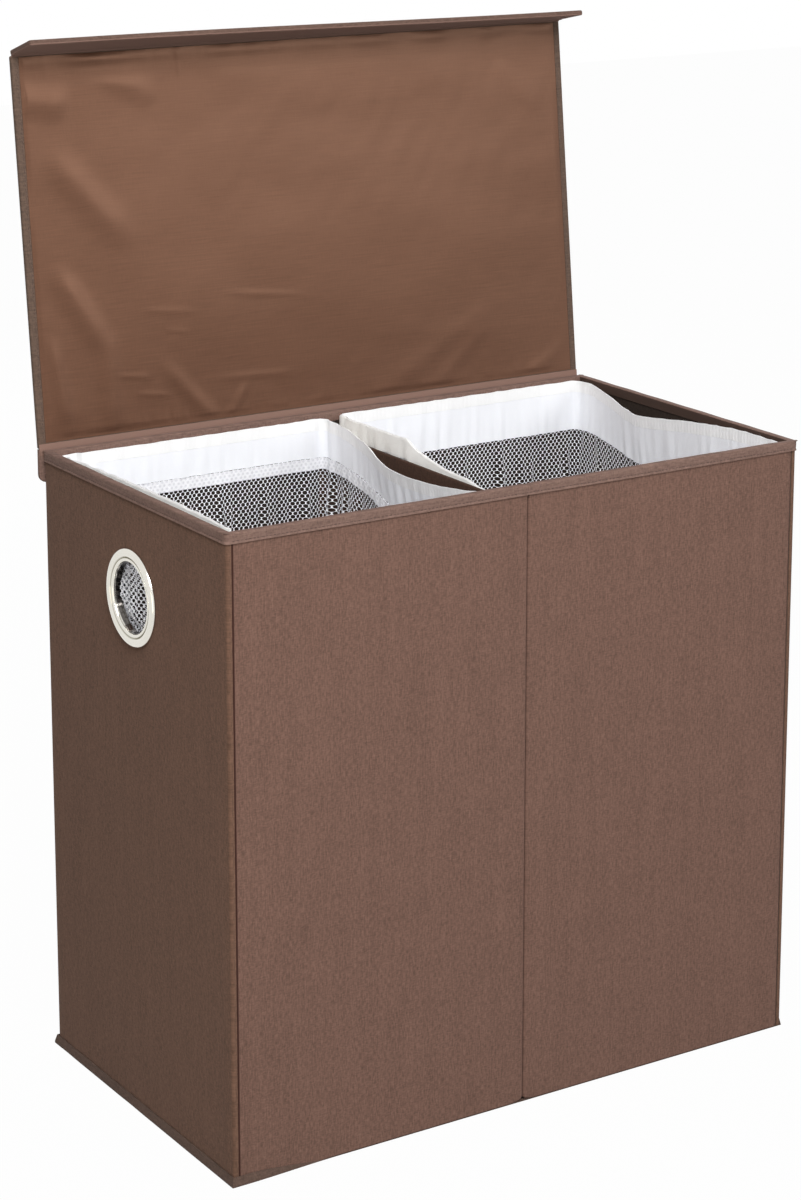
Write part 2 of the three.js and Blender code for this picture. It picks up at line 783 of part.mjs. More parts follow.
// Board of the lid.
function lid_board() {
  const edge = cover_thickness + lid_board_play;
  const x = lid_width / 2 - edge;
  const [front, rear] = [-lid_length + fold_gap + edge, -fold_gap - edge];
  return upright(rectangle(-x, front, x, rear, all_round(board_corner)), board_face, board_back);
}

// Satin lining of the lid, between the hems.
function lid_lining() {
  const x = lid_width / 2 - side_hem - clearance;
  const front = -lid_length + fold_gap + cover_thickness + clearance;
  const rear = -fold_gap - rear_hem - clearance;
  return upright(rectangle(-x, front, x, rear), lining_recess, lining_recess + lining_thickness);
}

// Tape that holds the rear flap to the back, seen from the back.
function flap_tape(from) {
  const top = body_height - flap_tape_drop;
  const x = lid_width / 2 - flap_tape_drop;
  const outline = rectangle(lid_side_offset - x, top - tape_width, lid_side_offset + x, top);
  return facing_front(outline, from, from + tape_thickness);
}

const hamper = new THREE.Group();

// Walls. A piece of the left side is turned half round for the right, and one of the front for the back.
for (const [side, name] of [
  [-1, 'left'],
  [1, 'right'],
]) {
  hamper.add(piece(`front_cover_${name}`, panel_cover(side, 1), brown_cloth));
  hamper.add(piece(`back_cover_${name}`, panel_cover(side, -1), brown_cloth));
  hamper.add(piece(`front_board_${name}`, panel_board(side, 1), stiff_board));
  hamper.add(piece(`back_board_${name}`, panel_board(side, -1), stiff_board));
  const walls = [
    piece(`side_cover_${name}`, side_cover(), brown_cloth),
    piece(`side_board_${name}`, side_board(), stiff_board),
    piece(`side_lining_${name}`, side_lining(), dark_cloth),
  ];
  walls.forEach((wall) => {
    wall.rotation.z = side < 0 ? 0 : Math.PI;
    hamper.add(wall);
  });
  const rings = [
    piece(`hand_ring_${name}`, hand_ring(), polished_steel),
    piece(`hand_washer_${name}`, hand_washer(), polished_steel),
  ];
  rings.forEach((ring) => {
    ring.position.set(side * half_width, 0, ring_height);
    ring.rotation.z = (-side * Math.PI) / 2;
    hamper.add(ring);
  });
  hamper.add(piece(`base_board_${name}`, base_board(side), stiff_board));

  const stations = bin_stations(side);
  hamper.add(piece(`bin_band_${name}`, bin_band_ring(stations), white_nylon));
  hamper.add(piece(`bin_tape_${name}`, bin_tape_ring(stations), cream_tape));
  hamper.add(piece(`bin_net_${name}`, bin_net(stations), white_net));
  hamper.add(piece(`wall_tape_front_${name}`, wall_tape(side), dark_cloth));
  const back_tape = piece(`wall_tape_back_${name}`, wall_tape(-side), dark_cloth);
  back_tape.rotation.z = Math.PI;
  hamper.add(back_tape);
}

hamper.add(piece('front_lining', front_lining(), dark_cloth));
const back_lining = piece('back_lining', front_lining(), dark_cloth);
back_lining.rotation.z = Math.PI;
hamper.add(back_lining);
hamper.add(piece('rim_binding', rim_binding(), brown_cloth));
hamper.add(piece('bottom_binding', bottom_binding(), brown_cloth));
hamper.add(piece('base_cloth', base_cloth(), dark_cloth));
hamper.add(piece('divider_board', divider_board(), stiff_board));
hamper.add(piece('divider_cover', divider_cover(), brown_cloth));

// Rear flap, hung down the back from the hinge line and held by its tapes
const loop_face = half_depth + clearance;
hamper.add(piece('flap_loop_tape', flap_tape(loop_face), dark_cloth));
hamper.add(piece('flap_hook_tape', flap_tape(loop_face + tape_thickness + clearance), dark_cloth));
const rear_flap = new THREE.Group();
rear_flap.position.set(lid_side_offset, hinge_y, hinge_z);
rear_flap.rotation.set(-Math.PI / 2, 0, Math.PI);
rear_flap.add(piece('flap_cover', pocket(flap_depth, flap_corner), brown_cloth));
rear_flap.add(piece('flap_board', pocket_board(flap_depth, flap_corner), stiff_board));
hamper.add(rear_flap);

// Lid, turned up about the hinge line from lying closed, and its lip, turned down about the front fold
const lid = new THREE.Group();
lid.position.set(lid_side_offset, hinge_y, hinge_z);
lid.rotation.x = -Math.PI / 2 - THREE.MathUtils.degToRad(lid_lean_degrees);
lid.add(piece('lid_cover', lid_cover(), brown_cloth));
lid.add(piece('lid_board', lid_board(), stiff_board));
lid.add(piece('lid_lining', lid_lining(), satin_cloth));
const lip = new THREE.Group();
lip.position.set(0, -lid_length, 0);
lip.rotation.x = THREE.MathUtils.degToRad(lip_fold_degrees);
lip.add(piece('lip_cover', pocket(lip_depth, lip_corner), brown_cloth));
lip.add(piece('lip_board', pocket_board(lip_depth, lip_corner), stiff_board));
lid.add(lip);
hamper.add(lid);

export default hamper;
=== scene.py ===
# %% [markdown]
# # A laundry hamper with two bins
#
# The hamper is a box of stiff boards sewn into brown cloth. It folds along a line down the middle of its
# front and back. Two net bins with nylon bands hang in it from hook tapes, a divider stands between them,
# and a lid with a satin lining is hinged at the back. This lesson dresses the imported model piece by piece.
#
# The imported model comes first. It fixes every size and place, so nothing here has to be fitted by eye.
# Lengths are in metres. +X is right along the front, +Y is to the back and +Z is up.

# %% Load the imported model
import json
import math

import bpy
from mathutils import Matrix, Vector, noise


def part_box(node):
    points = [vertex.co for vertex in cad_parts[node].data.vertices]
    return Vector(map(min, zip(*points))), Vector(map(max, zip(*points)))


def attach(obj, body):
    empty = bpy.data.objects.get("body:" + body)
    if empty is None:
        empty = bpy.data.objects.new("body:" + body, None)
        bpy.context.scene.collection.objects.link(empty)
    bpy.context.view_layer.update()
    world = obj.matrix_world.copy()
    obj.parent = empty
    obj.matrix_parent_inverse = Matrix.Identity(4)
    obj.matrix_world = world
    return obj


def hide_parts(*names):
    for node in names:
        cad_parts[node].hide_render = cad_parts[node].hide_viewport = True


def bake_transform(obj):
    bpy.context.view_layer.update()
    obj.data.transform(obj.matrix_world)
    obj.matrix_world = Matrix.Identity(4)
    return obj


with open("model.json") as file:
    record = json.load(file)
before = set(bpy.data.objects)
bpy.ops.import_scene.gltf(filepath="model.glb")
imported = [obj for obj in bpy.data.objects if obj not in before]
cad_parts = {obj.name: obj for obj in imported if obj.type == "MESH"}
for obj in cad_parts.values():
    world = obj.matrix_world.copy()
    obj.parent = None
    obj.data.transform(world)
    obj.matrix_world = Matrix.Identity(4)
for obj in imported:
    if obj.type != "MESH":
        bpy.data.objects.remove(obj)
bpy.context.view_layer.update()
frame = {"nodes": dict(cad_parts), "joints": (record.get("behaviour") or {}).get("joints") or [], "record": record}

nodes = frame["nodes"]
joints = {joint["name"]: joint for joint in frame["joints"]}

# %% [markdown]
# ## The camera
#
# The camera's place was found by fitting a pinhole camera to the corners of the box in the photograph.
# The photograph is a crop, so the view is shifted a little in height. That keeps the upright edges right.

# %% Camera
photo_height = 1200
photo_optical_axis_row = 350
photo_focal_pixels = 2993.0
sensor = 0.036
camera_place = (-1.5302, -2.3555, 1.2953)
camera_yaw = math.radians(32.568)
camera_pitch = math.radians(11.888)

camera_data = bpy.data.cameras.new("camera")
camera_data.sensor_width = sensor * 1000
camera_data.lens = photo_focal_pixels * camera_data.sensor_width / photo_height
camera_data.shift_y = (photo_optical_axis_row - photo_height / 2) / photo_height
camera = bpy.data.objects.new("camera", camera_data)
camera.location = camera_place
camera.rotation_euler = (math.pi / 2 - camera_pitch, 0, -camera_yaw)
bpy.context.scene.collection.objects.link(camera)
bpy.context.scene.camera = camera
print("lens", round(camera_data.lens, 2), "mm")

# %% [markdown]
# ## Modelling helpers
#
# Every new piece starts as a primitive, is shaped with edit-mode operators, and is finished with modifiers
# that are applied. An operator works on all that is selected, so each helper first clears the selection
# and then selects faces or edges by where they lie.

# %% Selecting
def clear_selection():
    if bpy.context.object and bpy.context.object.mode != "OBJECT":
        bpy.ops.object.mode_set(mode="OBJECT")
    bpy.ops.object.select_all(action="DESELECT")


def take(piece):
    clear_selection()
    bpy.context.view_layer.objects.active = piece
    piece.select_set(True)
    return piece


def named(name):
    made = bpy.context.object
    made.name = made.data.name = name
    return made


def fixed(piece):
    """Puts a piece's place, turn and scale into its mesh."""
    take(piece)
    bpy.ops.object.transform_apply(location=True, rotation=True, scale=True)
    return piece


def box_piece(name, low, high):
    """A box between two corners."""
    clear_selection()
    low, high = Vector(low), Vector(high)
    bpy.ops.mesh.primitive_cube_add(size=1, location=(low + high) / 2)
    made = named(name)
    made.scale = high - low
    return fixed(made)


def pick(piece, kind, test):
    """Opens a piece in edit mode with only the faces, edges or points that pass a test selected.
    A face's test gets its middle and normal, an edge's gets its two ends, and a point's gets its place."""
    take(piece)
    bpy.ops.object.mode_set(mode="EDIT")
    bpy.ops.mesh.select_mode(type=kind)
    bpy.ops.mesh.select_all(action="DESELECT")
    bpy.ops.object.mode_set(mode="OBJECT")
    mesh = piece.data
    if kind == "FACE":
        for face in mesh.polygons:
            face.select = bool(test(face.center, face.normal))
    elif kind == "EDGE":
        for edge in mesh.edges:
            a, b = [mesh.vertices[i].co for i in edge.vertices]
            edge.select = bool(test(a, b))
    else:
        for point in mesh.vertices:
            point.select = bool(test(point.co))
    bpy.ops.object.mode_set(mode="EDIT")


def done():
    bpy.ops.object.mode_set(mode="OBJECT")


# %% Cutting and rounding
def cut_faces(piece, test):
    pick(piece, "FACE", test)
    bpy.ops.mesh.delete(type="FACE")
    done()


def round_edges(piece, radius, steps, test):
    pick(piece, "EDGE", test)
    bpy.ops.mesh.bevel(offset=radius, segments=steps, affect="EDGES", profile=0.5)
    done()


def slice_grid(piece, axis, places):
    """Cuts a piece right through at several places along one axis, so that it can bend there."""
    normal = [0, 0, 0]
    normal[axis] = 1
    for place in places:
        point = [0, 0, 0]
        point[axis] = place
        pick(piece, "FACE", lambda middle, facing: True)
        bpy.ops.mesh.bisect(plane_co=point, plane_no=normal)
        done()


def even_steps(low, high, step):
    """Places between two ends, at about one step from each other."""
    count = max(int(round((high - low) / step)), 1)
    return [low + (high - low) * i / count for i in range(1, count)]


# %% Modifiers and shaping
def modify(piece, kind, **settings):
    take(piece)
    modifier = piece.modifiers.new(kind.title(), kind)
    for setting, value in settings.items():
        setattr(modifier, setting, value)
    bpy.ops.object.modifier_apply(modifier=modifier.name)
    return piece


def thicken(piece, thickness):
    """Gives a sheet its thickness, to the inner side of its faces."""
    pick(piece, "VERT", lambda place: True)
    bpy.ops.mesh.remove_doubles(threshold=1e-5)
    done()
    return modify(piece, "SOLIDIFY", thickness=thickness, offset=-1)


def shape(piece, rule):
    """Moves each point to where a rule puts it."""
    for point in piece.data.vertices:
        point.co = rule(point.co.copy())
    piece.data.update()


def smooth(piece, degrees=50):
    take(piece)
    bpy.ops.object.shade_smooth_by_angle(angle=math.radians(degrees))
    return piece


# %% Measures, and the last step of a piece
def near(a, b, tolerance=1e-5):
    return abs(a - b) < tolerance


def rise(value, low, high):
    """0 below low, 1 above high, and a smooth rise between them."""
    share = min(max((value - low) / (high - low), 0), 1)
    return share * share * (3 - 2 * share)


def hill(value, half, middle=0):
    """1 at the middle, and a smooth fall to 0 on both sides of it."""
    return math.exp(-(((value - middle) / half) ** 2))


def slice_evenly(piece, axis, low, high, step):
    slice_grid(piece, axis, even_steps(low, high, step))


def finish_piece(piece, body, replaced=()):
    """Hangs a piece on the body that carries it, and hides the nodes that it stands for."""
    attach(piece, body)
    if replaced:
        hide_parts(*replaced)
    print(piece.name, "has", len(piece.data.polygons), "faces")
    return piece

# %% [markdown]
# ## Shader helpers
#
# A finish is worked out with sums on values. So a small class wraps a socket and lets Python's own signs
# add the Math nodes. Every other node comes from one method, which takes the node's type, its settings and
# what goes into its sockets.

# %% Values that can be used in sums
def math_node(operation, swapped=False):
    """A method of a wire that adds one Math node. Swapped puts the wire itself last."""

    def method(self, *others):
        values = (*others, self) if swapped else (self, *others)
        return self.finish.node("ShaderNodeMath", {"operation": operation}, dict(enumerate(values)))

    return method


class Wire:
    """A value on its way through the nodes of a finish."""

    def __init__(self, finish, socket):
        self.finish = finish
        self.socket = socket

    __add__ = __radd__ = math_node("ADD")
    __mul__ = __rmul__ = math_node("MULTIPLY")
    __sub__, __rsub__ = math_node("SUBTRACT"), math_node("SUBTRACT", swapped=True)
    __truediv__, __pow__ = math_node("DIVIDE"), math_node("POWER")
    least, most, below = math_node("MINIMUM"), math_node("MAXIMUM"), math_node("LESS_THAN")
    fraction, sine = math_node("FRACT"), math_node("SINE")


# %% A finish and its nodes
class Finish:
    """The nodes of a material, or of the world."""

    def __init__(self, name, holder=None):
        self.material = holder or bpy.data.materials.new(name)
        self.material.use_nodes = True
        self.tree = self.material.node_tree
        self.tree.nodes.clear()

    def feed(self, socket, value):
        if isinstance(value, Wire):
            self.tree.links.new(value.socket, socket)
        else:
            socket.default_value = value

    def node(self, kind, settings=None, inputs=None, out=0):
        made = self.tree.nodes.new(kind)
        for setting, value in (settings or {}).items():
            setattr(made, setting, value)
        for socket, value in (inputs or {}).items():
            self.feed(made.inputs[socket], value)
        return Wire(self, made.outputs[out] if made.outputs else None)

    def coordinates(self, kind, count):
        where = self.node("ShaderNodeTexCoord", out=kind)
        return [self.node("ShaderNodeSeparateXYZ", None, {0: where}, out) for out in range(count)]

    def place(self):
        """The three Object coordinates, which are metres in the hamper's frame."""
        return self.coordinates("Object", 3)

    def unfolded(self):
        """The two coordinates of a piece's own flat pattern, in metres."""
        return self.coordinates("UV", 2)

    def grain(self, across, along, across_size, along_size, detail=2.0):
        """Noise drawn out into threads: fine across them and long along them. It runs from 0 to 1."""
        where = self.node("ShaderNodeCombineXYZ", None, {0: across / across_size, 1: along / along_size})
        return self.node("ShaderNodeTexNoise", None, {"Vector": where, "Scale": 1.0, "Detail": detail})

    def mottle(self, size, detail=2.0):
        """Even noise in all directions, from 0 to 1."""
        where = self.node("ShaderNodeTexCoord", out="Object")
        return self.node("ShaderNodeTexNoise", None, {"Vector": where, "Scale": 1 / size, "Detail": detail})

    def between(self, share, low_colour, high_colour):
        """A colour between two colours."""
        settings = {"data_type": "RGBA"}
        return self.node("ShaderNodeMix", settings, {0: share, 6: low_colour, 7: high_colour}, out=2)

    def raised(self, height, depth):
        """A normal from a height that runs from 0 to 1 over a depth in metres."""
        return self.node("ShaderNodeBump", None, {"Height": height, "Distance": depth})

    def surface(self, **inputs):
        """The Principled shader, its inputs named with _ for a space, joined to the output."""
        named_inputs = {key.replace("_", " "): value for key, value in inputs.items()}
        shader = self.node("ShaderNodeBsdfPrincipled", None, named_inputs)
        self.node("ShaderNodeOutputMaterial", None, {"Surface": shader})
        print("finish", self.material.name, "has", len(self.tree.nodes), "nodes")
        return self.material


def shades(colour, spread):
    """A darker and a lighter shade of a colour, as the shader wants them."""
    return [(*[channel * factor for channel in colour], 1) for factor in (1 - spread, 1 + spread)]


# %% [markdown]
# ## The cloth of the outside
#
# The outside is a matt brown cloth with thick and thin threads that run up the walls, so its shade comes in
# fine upright streaks. The same nodes serve the strips that bind the edges, where the threads run along the
# strip. Where cloth turns into a seam or on to the inner side it lies in deep shade, and a mask on the
# Object coordinates gives it a darker colour there.

# %% Brown cloth
brown = (0.166, 0.093, 0.07)
strip_brown = (0.192, 0.119, 0.096)
leg_brown = (0.06, 0.036, 0.027)
seam_brown = (0.055, 0.022, 0.017)
leg_inner, leg_outer, leg_top, leg_end = 0.3098, 0.3126, 0.6091, 0.1715
seam_shade_width = 0.0014
seam_x = -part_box("front_cover_left")[0].x - seam_shade_width


def stronger(value, gain):
    """Spreads a noise about its middle, because most of it lies near 0.5."""
    return (value - 0.5) * gain + 0.5


def brown_cloth(name, threads_run_up, colour, second_colour=None, where=None):
    """Where it is given, the second colour takes the place of the first where a mask on x, y and z is 1."""
    finish = Finish(name)
    x, y, z = finish.place()
    along, across = (z, x + y) if threads_run_up else (x + y, z)
    band = finish.grain(across, along, 0.011, 0.16)
    slub = finish.grain(across, along, 0.0024, 0.03)
    thread = finish.grain(across, along, 0.0014, 0.006, 1.0)
    weft = finish.grain(along, across, 0.0014, 0.004, 1.0)
    patch = finish.mottle(0.035)
    weave = thread * 0.55 + weft * 0.45
    shade = band * 0.1 + slub * 0.15 + weave * 0.67 + patch * 0.08
    dark, light = shades(colour, 0.3)
    cloth_colour = finish.between(stronger(shade, 3.6), dark, light)
    if second_colour:
        cloth_colour = finish.between(where(x, y, z), cloth_colour, (*second_colour, 1))
    return finish.surface(
        Base_Color=cloth_colour,
        Roughness=0.8 + weave * 0.14,
        Normal=finish.raised(weave * 0.7 + slub * 0.3, 0.0002),
        Sheen_Weight=0.04,
        Sheen_Roughness=0.5,
        Specular_IOR_Level=0.15,
    )


def on_rim_leg(x, y, z):
    """1 on the rim strip's legs on the inner side of the side walls, which are in deep shade."""
    leg = (x * x).below(leg_outer**2) * (1 - (x * x).below(leg_inner**2))
    return leg * z.below(leg_top) * (y * y).below(leg_end**2)


def at_corner_seam(x, y, z):
    """1 on the turned-in ends of the front and back cloth, which lie in the shade of the corner seam."""
    return 1 - (x * x).below(seam_x**2)


wall_cloth = brown_cloth("wall_cloth", True, brown, seam_brown, at_corner_seam)
# painted shade: the side walls get a darker, less blue copy of the wall cloth, which stands for the shade that
# falls on them
side_painted_shade_cloth = brown_cloth("side_painted_shade_cloth", True, (0.15, 0.082, 0.055))
strip_cloth = brown_cloth("strip_cloth", False, strip_brown)
rim_finish = brown_cloth("rim_finish", False, strip_brown, leg_brown, on_rim_leg)
# painted shade: the lid's pocket cloth is a darker, greyer copy of the same brown cloth, which stands for the
# weaker sheen and light on it
pocket_painted_shade_cloth = brown_cloth("pocket_painted_shade_cloth", False, (0.12, 0.079, 0.059))
welt_finish = brown_cloth("welt_finish", False, (0.11, 0.07, 0.054))
# The lining is a dark cloth, and its colour is made darker still as painted shade, which stands for the shade
# behind the net
lining_painted_shade_cloth = brown_cloth("lining_cloth", True, (0.03, 0.02, 0.015))
sleeve_cloth = brown_cloth("sleeve_cloth", True, (0.056, 0.028, 0.018))

# %% [markdown]
# ## The satin of the lid
#
# The lid is lined with a copper-brown satin whose threads run from side to side. It shines more than the
# cloth outside, so each soft wrinkle shows as a lighter band.

# %% Satin
def satin_cloth(name, colour):
    finish = Finish(name)
    x, y, z = finish.place()
    thread = finish.grain(z + y, x, 0.0014, 0.03)
    slub = finish.grain(z + y, x, 0.0025, 0.16)
    warp = finish.grain(x, z, 0.0014, 0.01, 1.0)
    shade = stronger(thread * 0.5 + slub * 0.25 + warp * 0.25, 2.6)
    dark, light = shades(colour, 0.16)
    return finish.surface(
        Base_Color=finish.between(shade, dark, light),
        Roughness=0.3 + thread * 0.1,
        Normal=finish.raised(thread * 0.8 + warp * 0.2, 0.00005),
        Specular_IOR_Level=0.5,
        Specular_Tint=(1.0, 0.55, 0.36, 1),
        Sheen_Weight=0.03,
        Sheen_Roughness=0.4,
    )


satin = satin_cloth("satin", (0.109, 0.0535, 0.0335))

# %% [markdown]
# ## White nylon, net and hook tape
#
# The bands of the bins are thin white nylon. The bags are a knitted net. Its holes are too many to model,
# so they are cut with Alpha. A hole sits at each point of a staggered lattice, measured on the bag's own
# flat pattern in metres, and so it follows the bag round its corners. Where the net is doubled, the holes
# are closed and only show as grey spots. Light also comes through these thin cloths. A weak glow of their
# own stands for that.

# %% Nylon
net_pitch = 0.0052
net_row = 0.00346
net_hole, closed_spot = 0.00216, 0.0014
light_through = 0.11
hem_depth, hem_rib = 0.012, 0.0046
hem_white, spot_grey = (0.93, 0.92, 0.885, 1), (0.7, 0.7, 0.74, 1)


def nylon_cloth(name, colour, roughness):
    finish = Finish(name)
    u, v = finish.unfolded()
    thread = finish.grain(u, v, 0.0006, 0.004, 1.0)
    weft = finish.grain(v, u, 0.0006, 0.004, 1.0)
    weave = thread * 0.5 + weft * 0.5
    hem = 1 - v.below(-hem_depth)
    ribs = (u * (2 * math.pi / hem_rib)).sine() * 0.5 + 0.5
    dark, light = shades(colour, 0.04)
    plain = finish.between(weave, dark, light)
    return finish.surface(
        Base_Color=finish.between(hem * 0.6, plain, hem_white),
        Roughness=roughness + weave * 0.1,
        Normal=finish.raised(weave * 0.05 + hem * (ribs * 0.3 + 0.6), 0.0005),
        Sheen_Weight=0.1,
        Specular_IOR_Level=0.4,
        Emission_Color=(0.92, 0.93, 1, 1),
        Emission_Strength=light_through,
    )


# %% Net
def net_cloth(name, colour, doubled):
    finish = Finish(name)
    u, v = finish.unfolded()
    across, up = u / net_pitch, v / (2 * net_row)
    gaps = []
    for shift in (0.0, 0.5):
        side = ((across + shift).fraction() - 0.5) * net_pitch
        height = ((up + shift).fraction() - 0.5) * (2 * net_row)
        gaps.append((side * side + height * height * 1.15) ** 0.5)
    distance = gaps[0].least(gaps[1])
    thread = finish.grain(u, v, 0.0004, 0.0012, 1.0)
    edge = distance / net_pitch
    dark, light = shades(colour, 0.08)
    spot = distance.below(closed_spot) * (0.75 if doubled else 0.0)
    return finish.surface(
        Base_Color=finish.between(spot, finish.between(thread, dark, light), spot_grey),
        Roughness=0.6 + thread * 0.2,
        Normal=finish.raised(edge + thread * 0.2, 0.0006),
        Alpha=1 - distance.below(0.0 if doubled else net_hole),
        Emission_Color=(0.95, 0.95, 1, 1),
        Emission_Strength=light_through / 2,
    )


# %% Tapes, and the white finishes
def hook_cloth(name, colour, glow):
    finish = Finish(name)
    grain = finish.mottle(0.0008, 1.0)
    dark, light = shades(colour, 0.1)
    return finish.surface(
        Base_Color=finish.between(grain, dark, light),
        Roughness=0.85 + grain * 0.1,
        Normal=finish.raised(grain, 0.0004),
        Emission_Color=(0.95, 0.93, 0.9, 1),
        Emission_Strength=glow,
    )


nylon = nylon_cloth("nylon", (0.86, 0.87, 0.9), 0.42)
net = net_cloth("net", (0.93, 0.93, 0.96), False)
heading_net = net_cloth("heading_net", (0.9, 0.9, 0.93), True)
hook_tape = hook_cloth("hook_tape", (0.94, 0.935, 0.905), light_through)
loop_tape = hook_cloth("loop_tape", (0.04, 0.026, 0.02), 0)

# %% [markdown]
# ## Nickel and board
#
# The rings of the hand holes are polished, with fine rub marks. Their groove is given a darker colour, and the
# barrel inside the hole is painted dark as shade. The boards are pressed fibre. They hardly show, but they are
# there in the gaps of the folds.

# %% Nickel
ring_height = 0.508
groove_radius, groove_half = 0.0377, 0.0011
barrel_x = 0.3172


def polished_nickel(name):
    finish = Finish(name)
    rub = finish.mottle(0.004, 4.0)
    stain = finish.mottle(0.03)
    dark, light = shades((0.76, 0.735, 0.665), 0.06)
    x, y, z = finish.place()
    from_axis = z - ring_height
    from_groove = (y * y + from_axis * from_axis) ** 0.5 - groove_radius
    # the groove gets a darker colour
    groove = 1 - ((from_groove * from_groove) ** 0.5 / groove_half).least(1)
    # painted shade: the barrel inside the hole gets a dark colour that stands for its shade
    barrel = (x * x).below(barrel_x**2)
    plate = finish.between(groove * 0.8, finish.between(stain, dark, light), (0.2, 0.185, 0.12, 1))
    return finish.surface(
        Base_Color=finish.between(barrel, plate, (0.13, 0.12, 0.11, 1)),
        Metallic=1.0,
        Roughness=0.07 + rub * 0.12,
        Normal=finish.raised(rub, 0.00001),
    )


# %% Board and thread
def pressed_board(name):
    finish = Finish(name)
    fibre = finish.mottle(0.0015, 4.0)
    cloud = finish.mottle(0.02)
    dark, light = shades((0.2, 0.15, 0.11), 0.2)
    return finish.surface(
        Base_Color=finish.between(fibre * 0.6 + cloud * 0.4, dark, light),
        Roughness=0.85 + fibre * 0.1,
        Normal=finish.raised(fibre, 0.0001),
    )


def sewing_thread(name, colour):
    finish = Finish(name)
    x, y, z = finish.place()
    twist = ((x + y + z) * 5000.0).sine() * 0.5 + 0.5
    dark, light = shades(colour, 0.25)
    return finish.surface(
        Base_Color=finish.between(twist, dark, light),
        Roughness=0.5 + twist * 0.2,
        Normal=finish.raised(twist, 0.00005),
    )


nickel = polished_nickel("nickel")
board = pressed_board("board")
brown_thread = sewing_thread("brown_thread", (0.075, 0.04, 0.03))

# %% [markdown]
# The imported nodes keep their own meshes, and each gets the finish of its material slot. Most of them are
# then hidden by a finer piece that stands for them.

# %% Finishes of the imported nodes
finish_of_slot = {
    "outer_cloth": wall_cloth,
    "lining_cloth": lining_painted_shade_cloth,
    "satin_lining": satin,
    "stiff_board": board,
    "nickel_ring": nickel,
    "nylon_band": nylon,
    "net": net,
    "hook_tape": hook_tape,
    "loop_tape": loop_tape,
}
for entry in frame["record"]["subparts"]:
    mesh = nodes[entry["node"]].data
    mesh.materials.clear()
    mesh.materials.append(finish_of_slot[entry["material_slot"]])
print(len(finish_of_slot), "finishes on", len(nodes), "nodes")


def dress(piece, finish):
    piece.data.materials.clear()
    piece.data.materials.append(finish)
    return piece

# %% [markdown]
# ## Walls
#
# Each half of the front and back is a board in its own cloth. At the fold line down the middle, the cloth
# turns in round the board, and the two rounded edges make a groove. The panel starts as a box, because a
# box has the turned edges already. Its inner and upper faces are taken off, its edges are bevelled, and
# Solidify gives the cloth its thickness. Fine cuts let it ripple a little, as glued cloth does.

# %% Cloth of the front and the back
cover_thickness = 0.0008
fold_rounding = 0.0022
fold_foot_rounding = 0.005
seam_rounding = 0.0012
panel_step = 0.012
panel_ripple = 0.00022


def ripple(place, size, depth):
    """An even, slow rise and fall, from minus to plus the depth."""
    return depth * noise.noise(Vector(place) / size)


def panel_cloth(name, node):
    low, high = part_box(node)
    facing = -1 if low.y < 0 else 1
    face_y = low.y if facing < 0 else high.y
    fold_x, outer_x = (high.x, low.x) if high.x < 0.1 else (low.x, high.x)
    cloth = box_piece(name, low, high)
    cut_faces(cloth, lambda middle, out: out.y * facing < -0.5 or out.z > 0.5)
    round_edges(
        cloth,
        fold_foot_rounding,
        5,
        lambda a, b: near(a.x, fold_x) and near(b.x, fold_x) and near(a.z, low.z) and near(b.z, low.z),
    )
    at_face = lambda a, b: near(a.y, face_y) and near(b.y, face_y)
    by_fold = lambda a, b: max(abs(a.x - fold_x), abs(b.x - fold_x)) < fold_foot_rounding + 1e-5
    round_edges(cloth, fold_rounding, 4, lambda a, b: at_face(a, b) and by_fold(a, b))
    by_seam = lambda a, b: near(a.x, outer_x) and near(b.x, outer_x)
    round_edges(cloth, seam_rounding, 3, lambda a, b: at_face(a, b) and by_seam(a, b))
    edge = fold_rounding * 1.5
    slice_evenly(cloth, 0, low.x + edge, high.x - edge, panel_step)
    slice_evenly(cloth, 2, low.z + edge, high.z, panel_step)

    def rippled(point):
        inside = min(point.x - low.x, high.x - point.x, point.z - low.z)
        if abs(point.y - face_y) < 1e-6:
            point.y += ripple(point, 0.05, panel_ripple) * rise(inside, 0.003, 0.03)
        return point

    shape(cloth, rippled)
    thicken(cloth, cover_thickness)
    smooth(dress(cloth, wall_cloth))
    return finish_piece(cloth, "root", [node])


for wall in ("front", "back"):
    for side in ("left", "right"):
        panel_cloth(f"{wall}_cloth_{side}", f"{wall}_cover_{side}")

# %% [markdown]
# A side wall's cloth is one sheet that also turns round both upright corners. The hand hole is cut through
# it with a Boolean modifier, once the sheet has its thickness.

# %% Cloth of the sides
corner_rounding = 0.003
hole_radius = 0.0346


def side_cloth(name, node):
    low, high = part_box(node)
    facing = -1 if low.x < 0 else 1
    face_x = low.x if facing < 0 else high.x
    cloth = box_piece(name, low, high)
    cut_faces(cloth, lambda middle, out: out.x * facing < -0.5 or abs(out.z) > 0.5)
    round_edges(cloth, corner_rounding, 5, lambda a, b: near(a.x, face_x) and near(b.x, face_x)
                and abs(a.z - b.z) > 0.1)
    slice_evenly(cloth, 1, low.y + 0.004, high.y - 0.004, panel_step)
    slice_evenly(cloth, 2, low.z, high.z, panel_step)

    def rippled(point):
        inside = min(point.y - low.y, high.y - point.y)
        if abs(point.x - face_x) < 1e-6:
            point.x += ripple(point, 0.06, panel_ripple) * rise(inside, 0.004, 0.03)
        return point

    shape(cloth, rippled)
    thicken(cloth, cover_thickness)
    clear_selection()
    bpy.ops.mesh.primitive_cylinder_add(
        vertices=96,
        radius=hole_radius,
        depth=0.04,
        location=(face_x, 0, ring_height),
        rotation=(0, math.pi / 2, 0),
    )
    punch = fixed(named("punch"))
    modify(cloth, "BOOLEAN", operation="DIFFERENCE", object=punch)
    bpy.data.objects.remove(punch)
    smooth(dress(cloth, side_painted_shade_cloth))
    return finish_piece(cloth, "root", [node])


